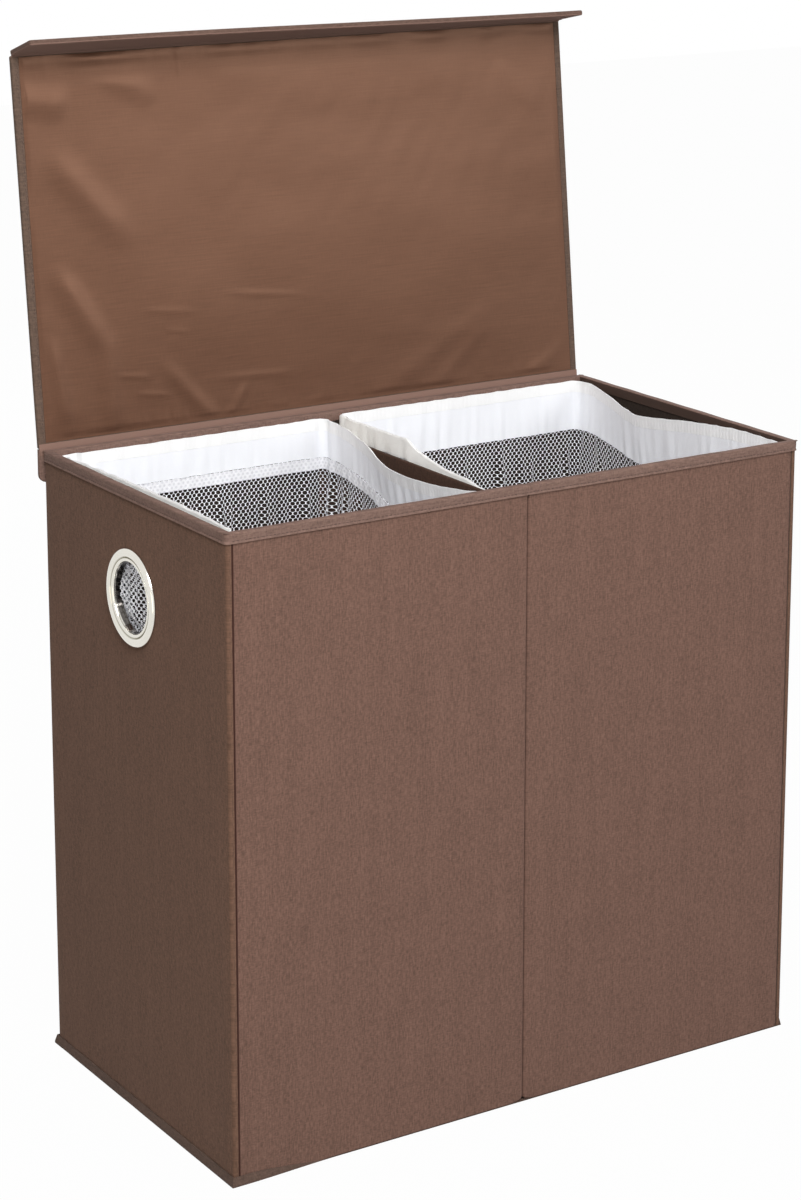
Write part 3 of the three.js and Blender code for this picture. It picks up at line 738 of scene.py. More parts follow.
for side in ("left", "right"):
    side_cloth(f"side_cloth_{side}", f"side_cover_{side}")

# %% [markdown]
# ## Rim
#
# One strip of the same cloth is folded over the top edges of all four walls and sewn through. The box's top
# face is inset and opened, and the inner edge is drawn down, so the strip runs round in one piece.

# %% Rim strip
rim_low, rim_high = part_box("rim_binding")
rim_width = 0.0072
rim_corner = 0.0041
rim_rounding = 0.0009
rim_stitch_height = 0.0024
rim_cuts = (0.0007, 0.0015, rim_stitch_height, 0.0033, 0.0042, 0.007)
rim_skin = 0.003
stitch_pull, foot_flare, rim_wave = 0.00026, 0.0005, 0.0003
crease_half, crease_depth, crease_inset = 0.0022, 0.0005, 0.0004


def at_inner_rim(point):
    return near(abs(point.x), rim_high.x - rim_width) or near(abs(point.y), rim_high.y - rim_width)


rim = box_piece("rim_strip", rim_low, rim_high)
cut_faces(rim, lambda middle, out: out.z < -0.5)
pick(rim, "FACE", lambda middle, out: out.z > 0.5)
bpy.ops.mesh.inset(thickness=rim_width, depth=0)
done()
cut_faces(rim, lambda middle, out: out.z > 0.5 and near(middle.x, 0) and near(middle.y, 0))
pick(rim, "EDGE", lambda a, b: near(a.z, rim_high.z) and at_inner_rim(a) and at_inner_rim(b))
bpy.ops.mesh.extrude_region_move(TRANSFORM_OT_translate={"value": (0, 0, rim_low.z - rim_high.z)})
done()
pick(rim, "FACE", lambda middle, out: True)
bpy.ops.mesh.normals_make_consistent(inside=False)
done()
round_edges(rim, rim_corner, 5, lambda a, b: not near(a.z, b.z) and near(abs(a.x), rim_high.x))
round_edges(rim, rim_rounding, 2, lambda a, b: near(a.z, rim_high.z) and near(b.z, rim_high.z)
            and (at_inner_rim(a) == at_inner_rim(b)))
at_middle = [-0.0035, -0.002, -0.001, 0.001, 0.002, 0.0035]
slice_grid(rim, 0, even_steps(rim_low.x + 0.009, rim_high.x - 0.009, 0.008) + at_middle)
slice_evenly(rim, 1, rim_low.y + 0.009, rim_high.y - 0.009, 0.008)
slice_grid(rim, 2, [rim_low.z + height for height in rim_cuts])


# %% The rim's stitched groove
def sewn_down(point):
    """The stitches pull the strip in a little above its lower edge, and the rim waves slightly."""
    out = Vector((point.x, point.y, 0))
    pull = 1 - min(abs(point.z - rim_low.z - rim_stitch_height) / 0.0018, 1)
    flare = 1 - min(abs(point.z - rim_low.z) / 0.002, 1)
    if abs(point.x) > rim_high.x - rim_skin or abs(point.y) > rim_high.y - rim_skin:
        point += out.normalized() * (foot_flare * flare - stitch_pull * pull)
    crease = hill(point.x, crease_half)
    if point.z > rim_high.z - rim_skin:
        point.z += ripple(point, 0.03, rim_wave) - rim_wave - crease_depth * crease
    if abs(point.y) > rim_high.y - rim_skin:
        point.y -= math.copysign(crease_inset, point.y) * crease
    return point


shape(rim, sewn_down)
thicken(rim, cover_thickness)
smooth(dress(rim, rim_finish))
finish_piece(rim, "root", ["rim_binding"])

# %% [markdown]
# ## Welt
#
# A strip is sewn round the foot of the walls. At the left side it stands out a little and waves. Along the
# left half of the front and the back it dies away under the wall, and along the right half it is tucked in.

# %% Welt round the bottom edge
welt_low, welt_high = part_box("bottom_binding")
welt_top_out = 0.0011
welt_web = 0.0085
wall_x, wall_y = 0.3175, 0.178
tuck_start, tuck_end = 0.012, 0.11
welt_wave, welt_turn, tuck_drop = 0.0006, 0.0006, 0.97

welt = box_piece("welt", welt_low, welt_high)
cut_faces(welt, lambda middle, out: out.z > 0.5)
pick(welt, "FACE", lambda middle, out: out.z < -0.5)
bpy.ops.mesh.inset(thickness=welt_web, depth=0)
done()
cut_faces(welt, lambda middle, out: out.z < -0.5 and near(middle.x, 0) and near(middle.y, 0))
slice_evenly(welt, 0, welt_low.x + 0.002, welt_high.x - 0.002, 0.006)
slice_evenly(welt, 1, welt_low.y + 0.002, welt_high.y - 0.002, 0.006)
slice_grid(welt, 2, [welt_high.z * share for share in (0.12, 0.3, 0.5, 0.75)])


# %% How the welt lies
def welt_shape(point):
    """Leans the strip in towards its upper edge, and tucks it under along the front and the back."""
    from_side = wall_x - abs(point.x)
    on_front = abs(point.y) > welt_high.y - 1e-5
    tuck = rise(from_side, tuck_start, tuck_end) if on_front else 0
    up = point.z / welt_high.z
    stands_out = welt_high.x - wall_x if point.x < 0 else welt_top_out
    if on_front and point.x > 0:
        tuck = 1
    flare = stands_out * (1 - up) + welt_top_out * up
    wave = welt_wave * (1 - up) * noise.noise(point / 0.035)
    turn = welt_turn * hill(up, 0.12)
    if abs(point.x) > welt_high.x - 1e-5:
        point.x = math.copysign(wall_x + flare - turn + min(wave, 0), point.x)
    if on_front:
        reach = wall_y + (flare - turn) * (1 - tuck)
        point.y = math.copysign(reach, point.y)
    point.z *= 1 - tuck * tuck_drop
    return point


shape(welt, welt_shape)
thicken(welt, cover_thickness)
smooth(dress(welt, welt_finish))
finish_piece(welt, "root", ["bottom_binding"])

# %% [markdown]
# ## Divider
#
# A board in a cloth sleeve stands between the bins. Its two ends are sewn to the linings by flanges.

# %% Sleeve of the divider
divider_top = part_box("divider_cover")[1].z
sleeve_half = 0.0024
sleeve_reach = 0.1721
flange_reach, flange_foot, flange_top = 0.014, 0.012, 0.574
sleeve_thickness = 0.0006
lining_inner = 0.1727

sleeve_foot = 0.0011
sleeve = box_piece(
    "divider_sleeve", (-sleeve_half, -sleeve_reach, sleeve_foot), (sleeve_half, sleeve_reach, divider_top)
)
cut_faces(sleeve, lambda middle, out: out.z < -0.5)
round_edges(sleeve, 0.0014, 3, lambda a, b: near(a.z, divider_top) and near(b.z, divider_top))
slice_evenly(sleeve, 1, -sleeve_reach + 0.003, sleeve_reach - 0.003, 0.014)
slice_evenly(sleeve, 2, sleeve_foot, divider_top - 0.003, 0.02)
shape(sleeve, lambda point: point + Vector((ripple(point, 0.05, 0.0002), 0, 0)))
thicken(sleeve, sleeve_thickness)
flanges = []
for end in (-1, 1):
    lining_y = end * lining_inner
    low_y, high_y = sorted((lining_y, lining_y - end * sleeve_thickness))
    flange = box_piece("flange", (-flange_reach, low_y, flange_foot), (flange_reach, high_y, flange_top))
    round_edges(flange, 0.00015, 2, lambda a, b: True)
    flanges.append(flange)
take(sleeve)
for flange in flanges:
    flange.select_set(True)
bpy.ops.object.join()
smooth(dress(sleeve, sleeve_cloth))
finish_piece(sleeve, "root", ["divider_cover"])

# %% [markdown]
# ## Net bins
#
# A bin is sewn from strips: a band of white nylon, stiff enough to stand, and a bag of net under it. A
# strip is a rectangle of cloth, so each one starts as a flat grid and is rolled up round the bin's plan, and
# its UV map stays the flat pattern that it was cut from. The front and back ends are pressed on to tapes.
# The two long walls hang between them, so their edges drop and lean in.

# %% Plan of a bin
bin_far, bin_depth, bin_corner = 0.3077, 0.1707, 0.009
bin_near = {"left": 0.00695, "right": 0.0069}
bin_top = {"left": 0.6045, "right": 0.6065}
band_height = {"left": 0.0395, "right": 0.053}
bag_foot, foot_rounding, bag_draw = 0.0044, 0.009, 0.004
bin_cloth = 0.0008
seam_lean = 0.45
seam_pucker, seam_gap = 0.0113, 0.0003
side_wall = [
    # Y in metres, then the drop of the edge and its lean to the inside in millimetres
    (-0.17, 0, 0), (-0.1, 0, 0.001), (-0.05, 3, 5), (0, 8, 9), (0.05, 13, 12), (0.09, 7, 8), (0.14, 0, 1),
    (0.17, 0, 0),
]
left_side_wall = [(-0.17, -1, 1), (-0.13, -3.2, 7), (0.0, -3.5, 8), (0.12, -2.5, 6), (0.17, 0, 0)]
left_divider_wall = [
    (-0.17, 3, 1), (-0.12, 12, 8), (-0.07, 18, 13), (-0.03, 21, 14), (0.006, 22, 14), (0.035, 20, 13),
    (0.058, 15.5, 10), (0.075, 10.5, 7), (0.1, 6, 4), (0.125, 2, 2), (0.17, 0, 0),
]
right_divider_wall = [
    (-0.17, 3, 0), (-0.13, 16, 3), (-0.093, 23, 6), (-0.058, 19, 6), (-0.03, 18, 6), (-0.007, 15, 5),
    (0.015, 10, 3.5), (0.027, 5, 1.5), (0.036, -0.8, 0), (0.055, -0.6, 0), (0.1, -0.4, 0), (0.17, 0, 0),
]
columns = 440
fold_heights = {"left": 0.0048, "right": 0.002}
wrinkle_height, wrinkle_seed = 0.09, {"left": 7, "right": 31}
edge_wave, edge_seed = 0.0018, {"left": 3.1, "right": 8.2}


# %% How a wall hangs
def bin_plan(side):
    """The low and high X of a bin, and how its left and right wall hang."""
    if side == "left":
        return -bin_far, -bin_near[side], left_side_wall, left_divider_wall
    return bin_near[side], bin_far, right_divider_wall, side_wall


def along_wall(hang, y):
    """The drop and the lean of a wall's edge at Y: smooth curves through the places of its table."""
    y = min(max(y, hang[0][0]), hang[-1][0])
    i = max(k for k in range(len(hang) - 1) if hang[k][0] <= y)
    before, after = hang[max(i - 1, 0)], hang[min(i + 2, len(hang) - 1)]
    start, end = hang[i], hang[i + 1]
    t = (y - start[0]) / (end[0] - start[0])
    results = []
    for n in (1, 2):
        slope_in = (end[n] - before[n]) / (end[0] - before[0]) * (end[0] - start[0])
        slope_out = (after[n] - start[n]) / (after[0] - start[0]) * (end[0] - start[0])
        curve = (2 * t**3 - 3 * t**2 + 1) * start[n] + (t**3 - 2 * t**2 + t) * slope_in
        curve += (3 * t**2 - 2 * t**3) * end[n] + (t**3 - t**2) * slope_out
        results.append(curve / 1000)
    return results


def bin_length(side):
    """The way once round a bin."""
    low_x, high_x, *_ = bin_plan(side)
    straight = 2 * (high_x - low_x - 2 * bin_corner) + 4 * (bin_depth - bin_corner)
    return straight + 2 * math.pi * bin_corner


# %% Places on the plan
def on_plan(side, way):
    """A place on the plan, a way along it anticlockwise from the front's left end.
    Gives the place, the outward direction there, and the drop and the lean of the edge."""
    low_x, high_x, hang_left, hang_right = bin_plan(side)
    wide, deep = high_x - low_x - 2 * bin_corner, 2 * (bin_depth - bin_corner)
    quarter = math.pi / 2 * bin_corner
    way %= bin_length(side)
    corners = [
        (low_x + bin_corner, -bin_depth + bin_corner),
        (high_x - bin_corner, -bin_depth + bin_corner),
        (high_x - bin_corner, bin_depth - bin_corner),
        (low_x + bin_corner, bin_depth - bin_corner),
    ]
    for turn in range(4):
        run = wide if turn % 2 == 0 else deep
        facing = turn * math.pi / 2 - math.pi / 2
        if way <= run:
            out = Vector((math.cos(facing), math.sin(facing)))
            along = Vector((-out.y, out.x))
            place = Vector(corners[turn]) + out * bin_corner + along * way
            break
        way -= run
        if way <= quarter:
            angle = facing + way / bin_corner
            out = Vector((math.cos(angle), math.sin(angle)))
            place = Vector(corners[(turn + 1) % 4]) + out * bin_corner
            break
        way -= quarter
    hang = hang_left if out.x < 0 else hang_right
    drop, lean = along_wall(hang, place.y)
    return place, out, drop * abs(out.x), lean * abs(out.x)


print("once round a bin:", round(bin_length("left"), 4), "and", round(bin_length("right"), 4), "m")


# %% A strip rolled up round a bin
def strip_grid(name, across, up):
    """A flat grid, one unit in size, from 0 to 1 both ways."""
    clear_selection()
    middle = (0.5, 0.5, 0)
    bpy.ops.mesh.primitive_grid_add(x_subdivisions=across, y_subdivisions=up, size=1, location=middle)
    return fixed(named(name))


def scale_pattern(piece, width, height):
    """Gives the flat pattern its real size, in metres."""
    for spot in piece.data.uv_layers.active.data:
        spot.uv = (spot.uv[0] * width, spot.uv[1] * height)


def weld(piece):
    """Joins the ends that meet in a rolled or spun piece, and points its faces outwards."""
    pick(piece, "VERT", lambda place: True)
    bpy.ops.mesh.remove_doubles(threshold=1e-6)
    bpy.ops.mesh.normals_make_consistent(inside=False)
    done()


def sewn_up(strip, thickness, finish, replaced=()):
    """Closes a rolled strip, and gives it its thickness and its finish."""
    weld(strip)
    thicken(strip, thickness)
    smooth(dress(strip, finish), 70)
    return finish_piece(strip, "root", replaced)


def drawn_in(place, out, inset, z):
    """A place on the plan, moved in by an inset, at the height z."""
    return Vector((place.x - out.x * inset, place.y - out.y * inset, z))


# %% Wrinkles and folds of a bin
def pucker_wave(way):
    """The small even puckers of the seam between band and net, from 0 to 2."""
    return 1 + math.sin(way * 2 * math.pi / seam_pucker)


def wrinkle(way, height, side, size, depth):
    """How far a wrinkle draws the cloth in. It's 0 or more, so the cloth never leaves its space."""
    turn = 2 * math.pi * way / bin_length(side)
    level = height / wrinkle_height + wrinkle_seed[side]
    spot = Vector((math.cos(turn) / size, math.sin(turn) / size, level))
    return depth * max(noise.noise(spot) + 0.15, 0)


def corner_fold(side, place, out):
    """How far a fold of spare cloth stands in, on each side of a corner."""
    low_x, high_x, *_ = bin_plan(side)
    along_end = min(place.x - low_x, high_x - place.x)
    along_side = bin_depth - abs(place.y)
    on_end = hill(along_end, 0.006, 0.017) * out.y**2
    on_side = 0.7 * hill(along_side, 0.005, 0.015) * out.x**2
    return fold_heights[side] * (on_end + on_side)


# %% [markdown]
# The nylon band is smooth in the middle of each end, where the tapes hold it, and it puckers at the corners
# and along its seam with the net. Its upper edge is turned over and sewn, so it is a little wavy.

# %% Nylon bands
def band_place(side, way, share, outset=0.0):
    """A point of the band: share runs from the seam, 0, to the upper edge, 1."""
    place, out, drop, lean = on_plan(side, way)
    z = bin_top[side] - drop - band_height[side] * (1 - share)
    corner = 1 - abs(abs(out.x) - abs(out.y))
    inset = lean * (seam_lean + (1 - seam_lean) * share)
    inset += wrinkle(way, z, side, 0.045, 0.003) * rise(share, 1.1, 0.3)
    inset += wrinkle(way, z, side, 0.013, 0.002) * corner
    inset += 0.0003 * (1 - share) ** 2 * pucker_wave(way)
    z -= edge_wave * abs(noise.noise(Vector((way * 38, edge_seed[side], 0)))) * share
    fold = corner_fold(side, place, out)
    inset += fold * (0.4 + 0.6 * share)
    z += fold * 0.4 * share
    return drawn_in(place, out, inset - outset, z)


def nylon_band(side):
    band = strip_grid(f"nylon_band_{side}", columns, 14)
    length = bin_length(side)
    shape(band, lambda point: band_place(side, point.x * length, point.y))
    scale_pattern(band, length, band_height[side])
    for spot in band.data.uv_layers.active.data:
        spot.uv = (spot.uv[0], spot.uv[1] - band_height[side])
    return sewn_up(band, bin_cloth, nylon, [f"bin_band_{side}"])


for side in ("left", "right"):
    nylon_band(side)

# %% [markdown]
# A hook tape runs round the outside of each band, just under the edge. It stands above the divider, where
# the band of the right bin leans over it.

# %% Hook tapes of the bins
tape_width, tape_thickness = 0.02, 0.0007
tape_below_edge, tape_gap = 0.001, 0.0003


def bin_tape(side):
    tape = strip_grid(f"hook_tape_{side}", columns, 6)
    length = bin_length(side)
    upper = 1 - tape_below_edge / band_height[side]
    lower = upper - tape_width / band_height[side]
    outset = tape_gap + tape_thickness
    shape(tape, lambda point: band_place(side, point.x * length, lower + (upper - lower) * point.y, outset))
    scale_pattern(tape, length, tape_width)
    return sewn_up(tape, tape_thickness, hook_tape, [f"bin_tape_{side}"])


for side in ("left", "right"):
    bin_tape(side)

# %% [markdown]
# The bag hangs from the band's seam to the bottom. Its walls draw in a little between their ends, and the
# net folds into upright ridges near the corners. The rows at its foot are drawn in to the middle to make
# the bottom. At the hand hole the net comes close behind the ring, so the rows lie closer there.

# %% Net bags
bag_rows = 84
net_thickness = 0.0004
floor_share, foot_share = 0.12, 0.16
hole_rows_low, hole_rows_high, rows_at_hole = 0.465, 0.552, 30
net_in_hole, net_slant = 0.316, 0.44


# %% Rows of a bag, and the hand hole
def closer_rows(side, share):
    """Draws the rows of a bag together at the height of the hand holes."""
    top = bin_top[side] - band_height[side]
    per_metre = (1 - foot_share) / (top - bag_foot)
    low, high = [foot_share + per_metre * (z - bag_foot) for z in (hole_rows_low, hole_rows_high)]
    below = (bag_rows - rows_at_hole) / bag_rows * low / (low + 1 - high)
    above = below + rows_at_hole / bag_rows
    if share < below:
        return low * share / below
    if share < above:
        return low + (high - low) * (share - below) / (above - below)
    return high + (1 - high) * (share - above) / (1 - above)


def out_to_hole(place, z, inset):
    """How far the net comes out into the hand hole: to the ring at its back edge, and less to the front."""
    radius = math.hypot(place.y, z - ring_height)
    wanted = bin_far - net_in_hole + net_slant * (0.031 - place.y)
    return max(inset - wanted, 0) * rise(radius, 0.036, 0.029)


# %% Shape of a bag
def bag_place(side, way, share):
    """A point of the bag: share runs from the middle of the bottom, 0, to the seam, 1."""
    place, out, drop, lean = on_plan(side, way)
    low_x, high_x, *_ = bin_plan(side)
    seam = bin_top[side] - drop - band_height[side] - seam_gap
    half_draw = bag_draw / 2
    if share < floor_share:
        reach = share / floor_share
        middle = Vector(((low_x + high_x) / 2, 0))
        edge = place - out * (half_draw + foot_rounding)
        spot = middle + (edge - middle) * reach
        return Vector((spot.x, spot.y, bag_foot))
    if share < foot_share:
        angle = (share - floor_share) / (foot_share - floor_share) * math.pi / 2
        inset = half_draw + foot_rounding * (1 - math.sin(angle))
        z = bag_foot + foot_rounding * (1 - math.cos(angle))
        return drawn_in(place, out, inset, z)
    up = (share - foot_share) / (1 - foot_share)
    z = bag_foot + foot_rounding + (seam - bag_foot - foot_rounding) * up
    draw = bag_draw * (0.5 + 0.5 * rise(up, 0, 0.5)) * (1 - rise(up, 0.5, 1))
    inset = draw + lean * seam_lean * (0.6 * up if up < 0.5 else 0.3 + 1.4 * (up - 0.5))
    belly = rise(up, 0, 0.15) * rise(1 - up, 0, 0.1)
    inset += wrinkle(way, z * 0.25, side, 0.04, 0.01) * belly
    inset += corner_fold(side, place, out) * (0.4 + 0.3 * belly) * rise(up, 0.1, 0.6)
    inset += 0.0007 * pucker_wave(way) * rise(up, 0.93, 1) ** 2
    if abs(place.x) > bin_far - 0.0001:
        inset -= out_to_hole(place, z, inset)
    return drawn_in(place, out, inset, z)


# %% Two bags
def net_bag(side):
    bag = strip_grid(f"net_bag_{side}", columns, bag_rows)
    length = bin_length(side)
    wall = bin_top[side] - band_height[side] - bag_foot
    points = bag.data.vertices
    spots = bag.data.uv_layers.active.data
    for spot in spots:
        spot.uv = (spot.uv[0], closer_rows(side, spot.uv[1]))
    shape(bag, lambda point: bag_place(side, point.x * length, closer_rows(side, point.y)))
    whole = round(length / net_pitch) * net_pitch
    scale_pattern(bag, whole, wall / (1 - foot_share))
    for face in bag.data.polygons:
        if face.center.z < bag_foot + 0.0005:
            for i in face.loop_indices:
                place = points[bag.data.loops[i].vertex_index].co
                spots[i].uv = (place.x, place.y)
    return sewn_up(bag, net_thickness, net, [f"bin_net_{side}"])


for side in ("left", "right"):
    net_bag(side)

# %% [markdown]
# Under the left band the net is doubled: a strip of it is folded up behind the seam, so it looks whiter
# there. It is a strip of its own, just inside the bag.

# %% Doubled net under the left band
heading_height, heading_thickness = 0.012, 0.0005


def heading_place(side, way, share):
    place, out, drop, lean = on_plan(side, way)
    wall = bin_top[side] - drop - band_height[side] - seam_gap - bag_foot - foot_rounding
    up = 1 - heading_height * (1 - share) / wall
    point = bag_place(side, way, foot_share + (1 - foot_share) * up)
    return drawn_in(point, out, bin_cloth + 0.0004, point.z)


heading = strip_grid("net_heading_left", columns, 5)
shape(heading, lambda point: heading_place("left", point.x * bin_length("left"), point.y))
scale_pattern(heading, round(bin_length("left") / net_pitch) * net_pitch, heading_height)
sewn_up(heading, heading_thickness, heading_net)

# %% [markdown]
# ## Lid, lip and rear flap
#
# These three are boards in cloth pockets, and they are modelled lying flat, as they are sewn, with the fold
# at Y 0 and the inner face at Z 0. A matrix then puts the finished mesh in place. The lid stands 96
# degrees open, its lip is folded in, and the flap hangs down behind the box.

# %% Places of the lid, the lip and the flap
hinge = Vector(joints["lid_hinge"]["pos_m"])
fold = Vector(joints["lip_hinge"]["pos_m"])
lid_length = (fold - hinge).length
lid_turn = math.radians(joints["lid_hinge"]["range_deg"][1])
lip_turn = -math.radians(joints["lip_hinge"]["range_deg"][0])
lid_place = Matrix.Translation(hinge) @ Matrix.Rotation(-lid_turn, 4, "X")
lip_place = lid_place @ Matrix.Translation((0, -lid_length, 0)) @ Matrix.Rotation(lip_turn, 4, "X")
behind_hinge = Matrix.Translation(hinge) @ Matrix.Rotation(-math.pi / 2, 4, "X")
flap_place = behind_hinge @ Matrix.Rotation(math.pi, 4, "Z")
pocket_depth = 0.0052
lid_half = 0.3175
fold_gap = 0.0005
edge_rounding = 0.0016
pocket_ripple = 0.00025
print("lid", round(lid_length, 4), "m long, turned", round(math.degrees(lid_turn), 1), "degrees")


# %% A cloth pocket
def pocket_cloth(name, length, corner, open_at_fold, step=0.012):
    """A cloth pocket that lies flat, with its far corners rounded in plan and its edges rounded."""
    cloth = box_piece(name, (-lid_half, -length, 0), (lid_half, -fold_gap, pocket_depth))
    if open_at_fold:
        cut_faces(cloth, lambda middle, out: out.y > 0.5)
    upright = lambda a, b: not near(a.z, b.z)
    far = lambda a, b: near(a.y, -length)
    round_edges(cloth, corner, 6, lambda a, b: upright(a, b) and (far(a, b) or not open_at_fold))
    at_fold = lambda a, b: near(a.y, -fold_gap) and near(b.y, -fold_gap)
    flat = lambda a, b: near(a.z, b.z)
    round_edges(cloth, edge_rounding, 4, lambda a, b: flat(a, b) and not (open_at_fold and at_fold(a, b)))
    slice_evenly(cloth, 0, -lid_half + corner, lid_half - corner, step)
    slice_evenly(cloth, 1, -length + corner, -fold_gap - 0.002, step)

    def rippled(point):
        inside = min(lid_half - abs(point.x), point.y + length, -fold_gap - point.y)
        if near(point.z, 0) or near(point.z, pocket_depth):
            point.z += ripple(point, 0.05, pocket_ripple) * rise(inside, 0.003, 0.03)
        return point

    shape(cloth, rippled)
    return cloth


def put(piece, place):
    piece.data.transform(place)
    return piece


# %% Cloth of the lid
side_hem, rear_hem = 0.0075, 0.005
lid_cloth = pocket_cloth("lid_cloth", lid_length - fold_gap, edge_rounding, False)
front_hem = 0.0013
window_x = lid_half - side_hem
window_rear, window_front = -fold_gap - rear_hem, -lid_length + fold_gap + front_hem
slice_grid(lid_cloth, 0, [-window_x, window_x])
slice_grid(lid_cloth, 1, [window_rear, window_front])
cut_faces(
    lid_cloth,
    lambda middle, out: out.z < -0.5
    and abs(middle.x) < window_x
    and window_front < middle.y < window_rear,
)
thicken(lid_cloth, cover_thickness)
smooth(dress(put(lid_cloth, lid_place), pocket_painted_shade_cloth))
finish_piece(lid_cloth, "lid", ["lid_cover"])

# %% Lip
lip_depth, lip_inner = 0.045, 0.0012
lip_twist = math.radians(6)
twist_start = -0.25
lip_way = (lip_place.to_3x3() @ Vector((0, -1, 0))).normalized()
lip_out = (lip_place.to_3x3() @ Vector((0, 0, 1))).normalized()


def twisted(point):
    """The lip's crease gives way towards its right end, so the lip stands 6 degrees lower there."""
    turn = Matrix.Rotation(lip_twist * rise(point.x, twist_start, lid_half), 4, "X")
    return turn @ Vector(point)


def painted_light_on_underside(x, y, z):
    """1 on the lip's inner side, which is given a lighter colour as painted light from the floor when the lid is
    open.
    """
    share = ((x - twist_start) / (lid_half - twist_start)).most(0.0).least(1.0)
    twist = share * share * (3.0 - 2.0 * share) * lip_twist
    way = (y - fold.y) * lip_way.y + (z - fold.z) * lip_way.z
    height = (y - fold.y) * lip_out.y + (z - fold.z) * lip_out.z
    return (height + way * twist).below(lip_inner)


# painted light: the second, lighter colour on the lip's inner side stands for the light from the floor
lip_painted_light_cloth = brown_cloth("lip_painted_light_cloth", False, (0.135, 0.082, 0.064), (0.25, 0.152, 0.12), painted_light_on_underside)


lip_cloth = pocket_cloth("lip_cloth", lip_depth, 0.003, True, 0.008)
shape(lip_cloth, twisted)
thicken(lip_cloth, cover_thickness)
smooth(dress(put(lip_cloth, lip_place), lip_painted_light_cloth))
finish_piece(lip_cloth, "lip", ["lip_cover"])

stiffener_half, stiffener_front, stiffener_rear = 0.3158, -0.0433, -0.0017
stiffener_low, stiffener_high = 0.0011, 0.0041
lip_stiffener = box_piece(
    "lip_stiffener",
    (-stiffener_half, stiffener_front, stiffener_low),
    (stiffener_half, stiffener_rear, stiffener_high),
)
slice_evenly(lip_stiffener, 0, -stiffener_half, stiffener_half, 0.008)
shape(lip_stiffener, twisted)
smooth(dress(put(lip_stiffener, lip_place), board))
finish_piece(lip_stiffener, "lip", ["lip_board"])

# %% Flap
flap_cloth = pocket_cloth("flap_cloth", 0.033, 0.008, True, 0.008)
thicken(flap_cloth, cover_thickness)
smooth(dress(put(flap_cloth, flap_place), strip_cloth))
finish_piece(flap_cloth, "root", ["flap_cover"])

# %% [markdown]
# The satin is stretched over the board and sewn down at its edges, and it puckers where the stitches hold
# it. Its relief is a sum of soft folds, each a ridge along a line that fades at its ends, with short
# puckers along the hinge edge. Near its edges it lies flat, so that the lid still closes on the rim and the
# bins.

# %% Folds of the satin
satin_gap = 0.0003
satin_half = window_x - satin_gap
satin_rear, satin_front = window_rear - satin_gap, window_front + satin_gap
satin_thickness, satin_recess = 0.0006, 0.0002
satin_folds = [
    # from and to, as shares of the width from the left and of the height from the hinge,
    # then the fold's width and height in millimetres
    ((-0.03, 0.895), (0.085, 0.868), 12, 2.2),
    ((0.05, 1.04), (0.25, 0.85), 12, 1.4),
    ((0.03, 0.76), (0.18, 0.47), 14, 2.6),
    ((0.271, 1.04), (0.276, 0.9), 1.8, 0.25),
    ((0.03, 0.46), (0.125, 0.19), 11, 3.6),
    ((0.116, 0.27), (0.118, -0.03), 10, 2.6),
    ((0.321, -0.04), (0.20, 0.19), 8, 1.5),
    ((0.315, -0.03), (0.365, 0.10), 5, 1.1),
    ((0.17, 0.316), (0.285, 0.295), 3.5, 0.5),
    ((0.32, 0.338), (0.49, 0.307), 3.5, 0.5),
    ((0.215, 0.256), (0.265, 0.245), 2.6, 0.35),
    ((0.295, 0.109), (0.47, 0.101), 4, 0.45),
    ((0.12, 0.154), (0.2, 0.134), 3, 0.45),
    ((0.155, 0.097), (0.23, 0.081), 3, 0.45),
    ((0.018, 0.29), (0.042, 0.0), 8, 2.4),
    ((0.57, -0.03), (0.88, 0.25), 12, 0.9),
    ((0.70, -0.02), (0.85, 0.19), 9, 0.7),
    ((0.86, -0.05), (1.0, 0.09), 8, 0.7),
    ((0.56, 0.60), (0.97, 0.34), 30, 0.8),
    ((0.55, 0.19), (0.93, 0.13), 12, 0.4),
    ((0.86, 0.93), (0.97, 0.74), 12, 0.5),
]
bulge_height, bulge_from_hinge, bulge_end = 0.0032, 0.3, 0.8
rim_zone = (0.338, 0.350, 0.363, 0.372)
rim_zone_height, free_height = 0.0006, 0.006
wave_height, fine_wave_height, under_lip_height = 0.0009, 0.00022, 0.0005
pucker_height, stitch_dent, stitch_step = 0.0009, 0.00016, 0.0052
flat_at_hinge = 0.0025


# %% Relief of the satin
def fold_height(spot, start, end, width):
    """1 on the line from start to end, and down to 0 beside it and towards its ends."""
    along = end - start
    share = min(max((spot - start).dot(along) / along.length_squared, 0), 1)
    beside = (spot - start - along * share).length
    return hill(beside, width) * rise(min(share, 1 - share), -0.02, 0.35)


